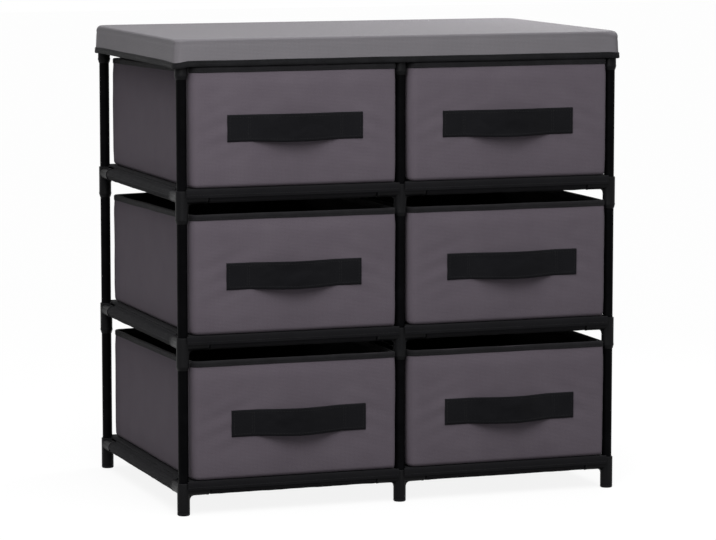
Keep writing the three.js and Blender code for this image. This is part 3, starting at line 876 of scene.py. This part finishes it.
black_cloth = nonwoven("black_nonwoven", CLOTH_BLACK, CLOTH_BLACK_WORN, BLACK_ROUGHNESS, BLACK_GLOSS,
                       BLACK_SHEEN, BOND_DEPTH)
black_thread = thread_finish()
for shelf in range(SHELVES):
    node = f"shelf_{shelf}"
    where = ((0, 0, 0), "rack", "shelf_fabric", node)
    add_cloth(shelf_board(shelf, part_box(node)[1].z), node + "_board", black_cloth, *where, CREASE_DEGREES)
    casings, stitches = bmesh.new(), bmesh.new()
    for number, (start, end, outward) in enumerate(shelf_runs(shelf)):
        along = (end - start).normalized()
        first, last = start + along * CASING_START, end - along * CASING_START
        seed = shelf * SHELF_SEED + number * RUN_SEED
        sweep(casings, casing_section(), first, last, outward, seed, CASING_BORE)
        seam = outward * (CASING_RADIUS + SEAM_LIFT[0]) + Vector((0, 0, SEAM_LIFT[1]))
        if outward.y:
            first, last = start + along * HEM_POST_GAP, end - along * HEM_POST_GAP
            sweep(casings, hem_section(), first, last, outward, seed)
            seam = outward * (HEM_INSIDE + HEM_CLOTH + HEM_SEAM_LIFT[0]) + Vector((0, 0, HEM_SEAM_LIFT[1]))
        row = [first.lerp(last, k / SEAM_STEPS) + seam for k in range(SEAM_STEPS + 1)]
        stitch_along(stitches, row, [outward] * len(row))
    add_cloth(casings, node + "_casings", black_cloth, *where)
    add_thread(stitches, node + "_stitching", *where)

# Drawers
# Six soft bins of mauve-grey non-woven cloth drawn over boards, lined in black, with a black tape folded
# over the rim and stitched through. The cloth bulges and puckers a little, most of all round the handle,
# and the rims have sunk towards the back left.
ROWS = ("bottom", "middle", "top")
COLUMNS = ("left", "right")
CLOTH_STEP = 0.0045
CORNER_ROUNDS = (0.0034, 0.0055, 0.0055, 0.0095)
CORNER_STEPS = 6
BOTTOM_ROUND = 0.0050
BOTTOM_ROUND_STEPS = 7
RIGHT_FOOT_SHARE = 0.7
SHELL_THICKNESS = 0.0016
LINING_THICKNESS = 0.0007
LINING_ROOM = 0.00005
LINING_DROP = 0.0005
LINING_STEP = 0.02
BASE_THICKNESS = 0.0055
BULGE = 0.0014
BULGE_FULLNESS = 2.2
WRINKLE = 0.0007
BROAD_WRINKLES, BROAD_SHARE = 14, 0.65
FINE_WRINKLES, FINE_SHARE = 42, 0.3
WRINKLE_SHIFT = (3.1, 1.7, 0.9)
PUCKER = 0.0004
PUCKER_WIDTH, PUCKER_HEIGHT = 0.030, 0.032
PUCKER_RISE, PUCKER_SLANT = 300, 120
RIM_HOLD = 8
HANDLE_HALF = 0.0825
DRAWER_SHIFT = 0.0003
ROW_SEED, COLUMN_SEED = 10, 5
RIM_HEIGHT = 0.0065
RIM_PROUD = 0.0008
RIM_OUTER_LOWER = ((0.0002, 0), (-0.00064, 0.0003), (-0.0008, 0.0012), (-0.00056, 0.0019), (-0.0008, 0.0027))
RIM_TOP = ((-0.0008, -0.0010), (-0.00032, -0.0001), (0.0006, 0.0005), (0.0020, 0.0005), (0.0026, -0.0001),
           (0.0030, -0.0010))
RIM_INNER_LOWER = ((0.0030, 0.0010), (0.0027, 0))
RIM_SWAY, RIM_SWAYS = 0.0003, 16
RIM_LIFT, RIM_LIFTS, RIM_LIFT_LAYER = 0.0004, 20, 3
RIM_STITCH_RISE = 0.0019
RIM_STITCH_SHARE = 0.72
RIM_SLUMPS = {"bottom": 0.0060, "middle": 0.0076, "top": 0.0085}
GREY_CLOTH = (0.092, 0.077, 0.094, 1)
GREY_CLOTH_PALE = (0.112, 0.096, 0.114, 1)
GREY_ROUGHNESS = 0.92
GREY_GLOSS = 0.06
GREY_SHEEN = (0.02, 0.55)
GREY_BOND_DEPTH = 0.00012
DRAWER_CREASE_DEGREES = 50
RIM_TAPE_BLACK = (0.0084, 0.0081, 0.0091, 1)
RIM_TAPE_PALE = (0.0122, 0.0118, 0.0132, 1)
TAPE_GLOSS = 0.07
TAPE_SHEEN = (0.03, 0.4)
TAPE_ROUGHNESS = (0.62, 0.80)
TAPE_RIB = 0.0009
TAPE_PICK = 0.00063
TAPE_WEAVE_DEPTH = 0.00012
TAPE_CLOUD, TAPE_CLOUD_SPAN = 60.0, (0.35, 0.7)


def clamped(value):
    return min(1.0, max(0.0, value))


def woven_tape(name, colour, pale):
    """Narrow woven tape with fine cross ribs."""
    material, tree, shader = new_finish(name, colour, TAPE_GLOSS, TAPE_SHEEN)
    flat = add_node(tree, "UVMap", uv_map="cloth").outputs[0]
    across, up = add_node(tree, "SeparateXYZ", {0: flat}).outputs[:2]
    weave = reckon(tree, "MULTIPLY", sine_of(tree, across, TAPE_RIB), sine_of(tree, up, TAPE_PICK))
    height = stretch(tree, weave, (-1, 1))
    shade = stretch(tree, blotches(tree, flat, TAPE_CLOUD), TAPE_CLOUD_SPAN)
    feed(tree, shader, blend_colours(tree, shade, colour, pale),
         stretch(tree, height, (0, 1), TAPE_ROUGHNESS))
    raise_bumps(tree, shader, (height, TAPE_WEAVE_DEPTH))
    return material


def rounded_rectangle(half_x, half_y, radii, step):
    """Anticlockwise outline points about the origin, with the corners as arcs. radii holds one radius
    for each corner: front right, back right, back left, front left."""
    arcs = []
    for quarter, (sx, sy) in enumerate(((1, -1), (1, 1), (-1, 1), (-1, -1))):
        radius = radii[quarter]
        centre = Vector((sx * (half_x - radius), sy * (half_y - radius)))
        turns = [pi / 2 * (quarter - 1 + k / CORNER_STEPS) for k in range(CORNER_STEPS + 1)]
        arcs.append([centre + Vector((cos(turn), sin(turn))) * radius for turn in turns])
    points = []
    for arc, following in zip(arcs, arcs[1:] + arcs[:1]):
        points += arc
        count = max(1, round((following[0] - arc[-1]).length / step))
        points += [arc[-1].lerp(following[0], k / count) for k in range(1, count)]
    return points


def drawer_outline(size, inset, step):
    """The outline of a drawer, inset from its outside. Its front left corner is the roundest."""
    radii = [radius - inset for radius in CORNER_ROUNDS]
    return rounded_rectangle(size[0] / 2 - inset, size[1] / 2 - inset, radii, step)


def drawer_wave(place, face, size, seed, handle_rise):
    """How far the outside cloth stands out from its board at a place on a drawer, in metres. face is the
    way it looks out, and place is measured from the middle of the drawer's foot."""
    width, depth, height = size
    across = place.x / (width / 2) if abs(face.y) > abs(face.x) else place.y / (depth / 2)
    up = clamped(place.z / height)
    swell = max(0.0, 1 - across ** 2 / 2) * min(1.0, BULGE_FULLNESS * sin(pi * up)) * BULGE
    shift = Vector([seed * part for part in WRINKLE_SHIFT])
    broad = noise.noise(place * BROAD_WRINKLES + shift)
    fine = noise.noise(place * FINE_WRINKLES + shift)
    wrinkle = (BROAD_SHARE * broad + FINE_SHARE * fine) * WRINKLE
    pucker = 0.0
    if face.y < -0.5:
        for end in (-1, 1):
            gap_x, gap_z = place.x - end * HANDLE_HALF, place.z - handle_rise
            near = exp(-(gap_x / PUCKER_WIDTH) ** 2 - (gap_z / PUCKER_HEIGHT) ** 2)
            pucker += near * sin(gap_z * PUCKER_RISE + gap_x * end * PUCKER_SLANT + seed) * PUCKER
    return (swell + wrinkle + pucker) * min(1.0, (1 - up) * RIM_HOLD)


def drawer_shell(size, seed, handle_rise):
    """The outside cloth and its board: up the outside, over the rim and down the inside to the base. The
    foot is rounded, least along the right side."""
    height = size[2]
    outside = []
    for k in range(BOTTOM_ROUND_STEPS + 1):
        turn = pi / 2 * k / BOTTOM_ROUND_STEPS
        outside.append((BOTTOM_ROUND * (1 - sin(turn)), BOTTOM_ROUND * (1 - cos(turn))))
    wall = height - BOTTOM_ROUND
    count = round(wall / CLOTH_STEP)
    outside += [(0, BOTTOM_ROUND + wall * k / count) for k in range(1, count + 1)]
    inside = [(SHELL_THICKNESS, z) for z in (height, height / 2, BASE_THICKNESS - LINING_THICKNESS)]

    def on_cloth(point, out, inset, z):
        face = Vector((out.x, out.y, 0))
        flat = point - out * inset * (1 - RIGHT_FOOT_SHARE * max(0.0, out.x))
        place = Vector((flat.x, flat.y, z))
        if inset < BOTTOM_ROUND:
            place += face * drawer_wave(place, face, size, seed, handle_rise)
        return place

    def on_board(point, out, inset, z):
        flat = point - out * inset
        return flat.x, flat.y, z

    bm = bmesh.new()
    points = drawer_outline(size, 0, CLOTH_STEP)
    bridge(bm, rings_round(bm, points, outside, on_cloth) + rings_round(bm, points, inside, on_board))
    return bm


def lining_box(size):
    """The lining: an open cloth box of even thickness that stands inside the drawer's shell."""
    bm = bmesh.new()
    inset = SHELL_THICKNESS + LINING_ROOM
    outer = drawer_outline(size, inset, LINING_STEP)
    inner = drawer_outline(size, inset + LINING_THICKNESS, LINING_STEP)
    base_low = BASE_THICKNESS - LINING_THICKNESS + LINING_ROOM
    top = size[2] - LINING_DROP
    rings = []
    for z, outline in ((base_low, outer), (top / 2, outer), (top, outer), (top, inner), (top / 2, inner),
                       (BASE_THICKNESS, inner)):
        rings.append([bm.verts.new((point.x, point.y, z)) for point in outline])
    bridge(bm, rings)
    return bm


def rim_stray(point, seed):
    """How far the rim strays outward and upward at a point."""
    shift = Vector((seed, 0, 0))
    sway = noise.noise(Vector((point.x, point.y, 0)) * RIM_SWAYS + shift) * RIM_SWAY
    lift = noise.noise(Vector((point.x, point.y, RIM_LIFT_LAYER)) * RIM_LIFTS + shift) * RIM_LIFT
    return sway, lift


def rim_tape(size, seed):
    """The tape folded over the rim, standing a little proud on both sides."""
    height = size[2]
    low = height - RIM_HEIGHT
    section = lifted(RIM_OUTER_LOWER, low) + lifted(RIM_TOP, height) + lifted(RIM_INNER_LOWER, low)

    def on_tape(point, out, inset, z):
        sway, lift = rim_stray(point, seed)
        flat = point - out * (inset - sway)
        return flat.x, flat.y, z + lift

    return folded_tape(drawer_outline(size, 0, CLOTH_STEP), section, on_tape)


def rim_stitches(size, seed):
    rise = size[2] - RIM_HEIGHT + RIM_STITCH_RISE

    def on_tape(point, out):
        sway, lift = rim_stray(point, seed)
        flat = point + out * (RIM_PROUD * RIM_STITCH_SHARE + sway)
        return flat.x, flat.y, rise + lift

    return stitches_round(drawer_outline(size, 0, CLOTH_STEP), on_tape)


def slump(bm, size, fall):
    """Lets the rim sink towards the drawer's back left corner, as soft boards do."""
    width, depth, height = size
    for vertex in bm.verts:
        point = vertex.co
        backward, leftward = clamped(0.5 + point.y / depth), clamped(0.5 - point.x / width)
        point.z -= fall * backward * leftward * point.z / height


grey_cloth = nonwoven("mauve_grey_nonwoven", GREY_CLOTH, GREY_CLOTH_PALE, GREY_ROUGHNESS, GREY_GLOSS,
                      GREY_SHEEN, GREY_BOND_DEPTH)
rim_tape_black = woven_tape("black_rim_tape", RIM_TAPE_BLACK, RIM_TAPE_PALE)
drawer_place = {}
for row_number, row in enumerate(ROWS):
    for column_number, column in enumerate(COLUMNS):
        name = f"{row}_{column}_drawer"
        body = f"{row}_{column}_bin"
        seed = ROW_SEED * row_number + COLUMN_SEED * column_number + 1
        low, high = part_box(name)
        size = (high.x - low.x - 2 * RIM_PROUD, high.y - low.y - 2 * RIM_PROUD, high.z - low.z)
        foot = Vector(((low.x + high.x) / 2 + DRAWER_SHIFT, (low.y + high.y) / 2, low.z))
        handle_rise = (size[2] - RIM_HEIGHT) / 2
        drawer_place[name] = (foot, size, seed)
        shell, lining = drawer_shell(size, seed, handle_rise), lining_box(size)
        tape, stitches = rim_tape(size, seed), rim_stitches(size, seed)
        for bm in (shell, lining, tape, stitches):
            slump(bm, size, RIM_SLUMPS[row])
        box_cloth = (foot, body, "drawer_fabric", name)
        rim = (foot, body, "binding_tape", name)
        add_cloth(shell, name + "_cloth", grey_cloth, *box_cloth, DRAWER_CREASE_DEGREES)
        add_cloth(lining, name + "_lining", black_cloth, *box_cloth, CREASE_DEGREES)
        add_cloth(tape, name + "_rim_tape", rim_tape_black, *rim)
        add_thread(stitches, name + "_rim_stitching", *rim)

# Handles
# A wide strap of doubled black cloth on the front of each drawer, hemmed along both edges. Its ends are
# stitched flat, and the middle stands out in a soft arch that a hand goes behind.
STRAP_THICKNESS = 0.0022
STRAP_SEWN_END = 0.0290
STRAP_FREE_HALF = HANDLE_HALF - STRAP_SEWN_END
STRAP_END_HEIGHT = 0.0312
STRAP_MIDDLE_SWELL = 0.0018
STRAP_STAND = 0.0130
STRAP_SAG = 0.0001
STRAP_TILT = 0.0018
STRAP_FULLNESS = 1.3
STRAP_STEPS = 110
STRAP_ROWS = 18
STRAP_EDGE_ROWS_SHARE = 0.25
STRAP_HEM = 0.0032
STRAP_FLAT_SHARE, STRAP_HEM_SHARE, STRAP_GROOVE_SHARE = 0.86, 0.25, 0.30
STRAP_GROOVE_WIDTH = 0.0006
STRAP_EDGE_ROUND = 0.0012
STRAP_THIN_SHARE = 0.35
STRAP_PROBE = 0.001
FREE_FOLD, FREE_FOLDS = 0.0009, (45, 1.3)
SEWN_FOLD, SEWN_FOLDS, SEWN_FOLD_SHIFT = 0.0004, (110, 2.6), 9
FOLD_GROWTH = 3
STRAP_STITCH_STEPS = 80
STRAP_STITCH_REACH = HANDLE_HALF * 0.965
STRAP_CROSS_ROWS = (HANDLE_HALF - 0.0030, STRAP_FREE_HALF + 0.0015, STRAP_FREE_HALF + 0.0040)
STRAP_CROSS_INSET = 0.0035
STRAP_CROSS_STEPS = 8
STRAP_THREAD_LIFT = 0.0001
STRAP_OFFSETS = {
    "top_left_handle": (0.0012, 0.0022),
    "top_right_handle": (-0.0010, 0.0004),
    "middle_left_handle": (-0.0006, 0.0010),
    "middle_right_handle": (0.0052, 0.0014),
    "bottom_left_handle": (0.0048, -0.0012),
    "bottom_right_handle": (0.0026, -0.0018),
}
STRAP_BLACK = (0.0050, 0.0050, 0.0059, 1)
STRAP_PALE = (0.0095, 0.0095, 0.0112, 1)
STRAP_ROUGHNESS = 0.80
STRAP_GLOSS = 0.04


def strap_station(x):
    """The strap at x: its share of the full arch, the y of its middle line and half its height."""
    share = max(0.0, 1 - abs(x) / STRAP_FREE_HALF)
    rise = sin(pi / 2 * share) ** STRAP_FULLNESS
    return rise, -STRAP_THICKNESS / 2 - STRAP_STAND * rise, (STRAP_END_HEIGHT + STRAP_MIDDLE_SWELL * rise) / 2


def strap_point(x, edge, side, seed):
    """A point of the strap. edge runs from -1 at the bottom to 1 at the top, and side is -1 in front."""
    rise, y, half_height = strap_station(x)
    before, after = strap_station(x - STRAP_PROBE)[1], strap_station(x + STRAP_PROBE)[1]
    slope = (after - before) / (2 * STRAP_PROBE)
    from_edge = (1 - abs(edge)) * half_height
    hem = STRAP_HEM_SHARE * exp(-((from_edge - STRAP_HEM / 2) / (STRAP_HEM / 2)) ** 2)
    groove = STRAP_GROOVE_SHARE * exp(-((from_edge - STRAP_HEM) / STRAP_GROOVE_WIDTH) ** 2)
    round_off = sqrt(max(0.0, 1 - max(0.0, 1 - from_edge / STRAP_EDGE_ROUND) ** 2))
    half = STRAP_THICKNESS / 2 * (STRAP_FLAT_SHARE + hem - groove)
    half *= STRAP_THIN_SHARE + (1 - STRAP_THIN_SHARE) * round_off
    folds = noise.noise(Vector((x * FREE_FOLDS[0], edge * FREE_FOLDS[1], seed))) * FREE_FOLD * rise
    place = Vector((x * SEWN_FOLDS[0], edge * SEWN_FOLDS[1], seed + SEWN_FOLD_SHIFT))
    folds += noise.noise(place) * SEWN_FOLD
    face = Vector((slope, -1)).normalized() * (-side * half)
    y += face.y + folds * min(1.0, rise * FOLD_GROWTH) - edge * rise * STRAP_TILT
    return Vector((x + face.x, y, edge * half_height - STRAP_SAG * rise))


def strap_mesh(seed):
    """The strap as one closed skin of front, edges and back, with its rows closest at the edges."""
    spaced = [2 * k / STRAP_ROWS - 1 for k in range(STRAP_ROWS + 1)]
    packed = STRAP_EDGE_ROWS_SHARE
    edges = [sin(pi / 2 * at) * packed + at * (1 - packed) for at in spaced]
    bm = bmesh.new()
    rings = []
    for i in range(STRAP_STEPS + 1):
        x = HANDLE_HALF * (2 * i / STRAP_STEPS - 1)
        points = [strap_point(x, edge, -1, seed) for edge in edges]
        points += [strap_point(x, edge, 1, seed) for edge in reversed(edges)]
        rings.append([bm.verts.new(point) for point in points])
    bridge(bm, rings)
    return bm


def strap_stitches(seed):
    """A row along each hem, and one row near the end and two at the start of each sewn end."""
    bm = bmesh.new()
    face = Vector((0, -1, 0))

    def on_front(x, from_edge, sign):
        return strap_point(x, sign * (1 - from_edge / strap_station(x)[2]), -1, seed)

    stations = [STRAP_STITCH_REACH * (2 * k / STRAP_STITCH_STEPS - 1) for k in range(STRAP_STITCH_STEPS + 1)]
    for sign in (-1, 1):
        row = [on_front(x, STRAP_HEM, sign) for x in stations]
        stitch_along(bm, row, [face] * len(row))
    for end in (-1, 1):
        for reach in STRAP_CROSS_ROWS:
            low, high = (on_front(end * reach, STRAP_CROSS_INSET, sign) for sign in (-1, 1))
            steps = [k / STRAP_CROSS_STEPS for k in range(STRAP_CROSS_STEPS + 1)]
            row = [low.lerp(high, step) + face * STRAP_THREAD_LIFT for step in steps]
            stitch_along(bm, row, [face] * len(row))
    return bm


strap_cloth = nonwoven("black_strap", STRAP_BLACK, STRAP_PALE, STRAP_ROUGHNESS, STRAP_GLOSS,
                       BLACK_SHEEN, BOND_DEPTH)
for row in ROWS:
    for column in COLUMNS:
        node = f"{row}_{column}_handle"
        low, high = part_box(node)
        foot, size, seed = drawer_place[f"{row}_{column}_drawer"]
        aside, above = STRAP_OFFSETS[node]
        rise = foot.z + (size[2] - RIM_HEIGHT) / 2
        centre = Vector(((low.x + high.x) / 2 + aside, high.y, rise + above))
        where = (centre, f"{row}_{column}_bin", "strap", node)
        add_cloth(strap_mesh(seed), node + "_strap", strap_cloth, *where)
        add_thread(strap_stitches(seed), node + "_stitching", *where)

# Lid
# A sewn cover of the same cloth, a little paler, over a stiff board that rests on the caps. Its skirt hangs
# round the top of the frame, flares at the hem and most at the corners, and is bound in black tape.
LID_CLOTH = 0.0010
LID_ROUND = 0.0024
LID_CORNER_ROUND = 0.0076
LID_NEAR_CORNER_ROUND = 0.0034
LID_ROUND_SPREAD = 0.0140
LID_ROUND_STEPS = 7
LID_CORNER = 0.0085
LID_STEP = 0.006
LID_TOP_RINGS = 9
LID_TOP_WAVE, LID_TOP_WAVES = 0.0002, 9
CORNER_SPREAD = 0.0220
SEAM_WIDTH = 0.0016
SEAM_DEPTH = 0.0005
SKIRT_ROWS = 12
SKIRT_WAVE, SKIRT_WAVES, SKIRT_LAYER = 0.0006, 11, 4
SKIRT_TUCK, TUCK_SHARE, TUCK_SPREAD_SHARE = 0.0003, 0.10, 0.06
HEM_FLARE = 0.0014
HEM_FLARE_BEND = 1.5
HEM_SWAY, HEM_SWAYS, HEM_LAYER = 0.0004, 13, 8
SIDE_DROOP = 0.0016
CORNER_DROOP = 0.0009
RIGHT_DROOP_SHARE = 0.4
DROOP_START = 0.0165
BINDING_OUTER_UPPER = ((0.0002, 0), (-0.0008, -0.0003), (-0.0010, -0.0012), (-0.0007, -0.0018),
                       (-0.0010, -0.0026))
BINDING_LOWER = ((-0.0011, 0.0012), (-0.0006, 0.0003), (0.0002, 0), (0.0014, 0), (0.0021, 0.0004),
                 (0.0023, 0.0012))
BINDING_INNER_UPPER = ((0.0022, -0.0012), (0.0019, 0))
BINDING_STITCH_FALL = 0.0018
BINDING_STITCH_STAND = 0.0008
BINDING_BLACK = (0.0060, 0.0060, 0.0067, 1)
BINDING_PALE = (0.0100, 0.0100, 0.0112, 1)
LID_GREY = (0.138, 0.131, 0.142, 1)
LID_GREY_PALE = (0.156, 0.148, 0.160, 1)
LID_ROUGHNESS = 0.90
LID_GLOSS = 0.12
LID_SHEEN = (0.10, 0.4)
LID_BOARD_CORNER = 0.0150
LID_BOARD_EDGE = 0.0004
LID_BOARD_STEP = 0.03
BOARD_COLOUR = (0.165, 0.118, 0.078, 1)
BOARD_FIBRE = (0.245, 0.185, 0.128, 1)
BOARD_FIBRES = 700.0
BOARD_FIBRE_STRETCH, BOARD_FIBRE_SPAN = (1, 0.25, 1), (0.35, 0.7)
BOARD_FIBRE_DEPTH = 0.0001
BOARD_ROUGHNESS = (0.65, 0.85)
BOARD_GLOSS = 0.3


def hardboard():
    """Brown pressed fibre board."""
    material, tree, shader = new_finish("brown_fibre_board", BOARD_COLOUR, BOARD_GLOSS)
    values = {0: object_place(tree), "Scale": BOARD_FIBRE_STRETCH}
    drawn_out = add_node(tree, "Mapping", values).outputs[0]
    fibres = blotches(tree, drawn_out, BOARD_FIBRES)
    share = stretch(tree, fibres, BOARD_FIBRE_SPAN)
    feed(tree, shader, blend_colours(tree, share, BOARD_COLOUR, BOARD_FIBRE),
         stretch(tree, fibres, BLOTCH_MIDDLE, BOARD_ROUGHNESS))
    raise_bumps(tree, shader, (fibres, BOARD_FIBRE_DEPTH))
    return material


def lid_outline(inset):
    return rounded_rectangle(lid_half_x - inset, lid_half_y - inset, [LID_CORNER - inset] * 4, LID_STEP)


def edge_gaps(point):
    return lid_half_x - abs(point.x), lid_half_y - abs(point.y)


def near_corner(point, spread=CORNER_SPREAD):
    """1 at the lid's corners, falling to 0 a few centimetres away."""
    gap_x, gap_y = edge_gaps(point)
    return exp(-(gap_x ** 2 + gap_y ** 2) / spread ** 2)


def lid_edge_round(point):
    """The round along the lid's top edge. It grows at the corners, least at the crisp front left one."""
    corner = LID_NEAR_CORNER_ROUND if point.x < 0 and point.y < 0 else LID_CORNER_ROUND
    return LID_ROUND + (corner - LID_ROUND) * near_corner(point, LID_ROUND_SPREAD)


def corner_seam(point):
    """1 on the upright seam at each corner."""
    gap_x, gap_y = edge_gaps(point)
    return exp(-((gap_x - gap_y) / SEAM_WIDTH) ** 2) * near_corner(point)


def skirt_flare(point, share):
    """How far the skirt stands out: it flares at the hem and the corners, with slow waves between, and is
    tucked in just under its top edge. share is 0 at the top and 1 at the hem."""
    wave = noise.noise(Vector((point.x * SKIRT_WAVES, point.y * SKIRT_WAVES, SKIRT_LAYER))) * SKIRT_WAVE
    hem = share ** HEM_FLARE_BEND * (HEM_FLARE * (1 + near_corner(point)) / 2 + wave)
    tuck = SKIRT_TUCK * exp(-((share - TUCK_SHARE) / TUCK_SPREAD_SHARE) ** 2)
    return hem - tuck - corner_seam(point) * SEAM_DEPTH


def hem_droop(point):
    """How far the hem hangs below its line over the drawers: along the sides and at the corners only."""
    past = clamped(1 - edge_gaps(point)[0] / DROOP_START)
    hang = SIDE_DROOP + CORNER_DROOP * near_corner(point)
    return past ** 2 * (3 - 2 * past) * hang * (1 if point.x < 0 else RIGHT_DROOP_SHARE)


def hem_stray(point):
    """How far the binding strays up or down at a point."""
    sway = noise.noise(Vector((point.x * HEM_SWAYS, point.y * HEM_SWAYS, HEM_LAYER))) * HEM_SWAY
    return sway - hem_droop(point)


def lid_skin(bm, inset):
    """One face of the cover's cloth, from its hem up the skirt and over the edge to the middle."""
    top, bottom = -inset, -lid_height
    base = lid_outline(inset)
    sides = [(point, out, lid_edge_round(point) - inset) for point, out in zip(base, outward_of(base))]
    rings = []
    for k in range(SKIRT_ROWS):
        share = 1 - k / SKIRT_ROWS
        ring = []
        for point, out, rounding in sides:
            flat = point + out * skirt_flare(point, share)
            z = bottom + (top - rounding - bottom) * (1 - share) - hem_droop(point) * share
            ring.append(bm.verts.new((flat.x, flat.y, z)))
        rings.append(ring)
    for k in range(LID_ROUND_STEPS + 1):
        turn = pi / 2 * k / LID_ROUND_STEPS
        ring = []
        for point, out, rounding in sides:
            flat = point + out * (skirt_flare(point, 0) - rounding * (1 - cos(turn)))
            ring.append(bm.verts.new((flat.x, flat.y, top - rounding * (1 - sin(turn)))))
        rings.append(ring)
    edge = rings[-1]
    for k in range(1, LID_TOP_RINGS):
        shrink = 1 - k / LID_TOP_RINGS
        ring = []
        for x, y in [(vertex.co.x * shrink, vertex.co.y * shrink) for vertex in edge]:
            wave = noise.noise(Vector((x * LID_TOP_WAVES, y * LID_TOP_WAVES, 1))) * LID_TOP_WAVE
            ring.append(bm.verts.new((x, y, top + wave * (1 - shrink))))
        rings.append(ring)
    bridge(bm, rings, closed_ends=False)
    bm.faces.new(rings[-1])
    return rings[0]


def lid_cover():
    bm = bmesh.new()
    outer, inner = lid_skin(bm, 0.0), lid_skin(bm, LID_CLOTH)
    bridge(bm, [outer, inner], closed_ends=False)
    return bm


def hem_binding():
    """The tape bound round the hem, inside and out."""
    low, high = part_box("lid_binding")
    bottom, top = low.z - lid_top, high.z - lid_top
    section = lifted(BINDING_OUTER_UPPER, top) + lifted(BINDING_LOWER, bottom)
    section += lifted(BINDING_INNER_UPPER, top)

    def on_tape(point, out, inward, z):
        flat = point - out * (inward - skirt_flare(point, clamped(-z / lid_height)))
        return flat.x, flat.y, z + hem_stray(point)

    return folded_tape(lid_outline(0.0), section, on_tape)


def hem_stitches():
    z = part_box("lid_binding")[1].z - lid_top - BINDING_STITCH_FALL

    def on_tape(point, out):
        flat = point + out * (BINDING_STITCH_STAND + skirt_flare(point, clamped(-z / lid_height)))
        return flat.x, flat.y, z + hem_stray(point)

    return stitches_round(lid_outline(0.0), on_tape)


def lid_board_mesh():
    low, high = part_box("lid_board")
    half_x, half_y, thick = (high.x - low.x) / 2, (high.y - low.y) / 2, high.z - low.z
    soft = LID_BOARD_EDGE
    bm = bmesh.new()
    rings = []
    for inset, z in ((soft, 0), (0, soft), (0, thick - soft), (soft, thick)):
        outline = rounded_rectangle(half_x - inset, half_y - inset, [LID_BOARD_CORNER] * 4, LID_BOARD_STEP)
        rings.append([bm.verts.new((point.x, point.y, z)) for point in outline])
    bridge(bm, rings)
    return bm


low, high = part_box("lid_cover")
lid_half_x, lid_half_y = (high.x - low.x) / 2, (high.y - low.y) / 2
lid_height, lid_top = high.z - low.z, high.z
lid_centre = Vector(((low.x + high.x) / 2, (low.y + high.y) / 2, lid_top))
board = new_piece(lid_board_mesh(), "lid_board_panel", hardboard())
board_foot = Vector((lid_centre.x, lid_centre.y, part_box("lid_board")[0].z))
seat(set_down(board, board_foot), "rack", "lid_board", "lid_board")
lid_grey = nonwoven("lid_mauve_grey_nonwoven", LID_GREY, LID_GREY_PALE, LID_ROUGHNESS, LID_GLOSS,
                    LID_SHEEN, GREY_BOND_DEPTH)
binding_black = woven_tape("black_binding_tape", BINDING_BLACK, BINDING_PALE)
cover = add_cloth(lid_cover(), "lid_cover_cloth", lid_grey, lid_centre, "rack", "lid_fabric", "lid_cover")
where = (lid_centre, "rack", "binding_tape", "lid_binding")
add_cloth(hem_binding(), "lid_binding_tape", binding_black, *where)
add_thread(hem_stitches(), "lid_binding_stitching", *where)
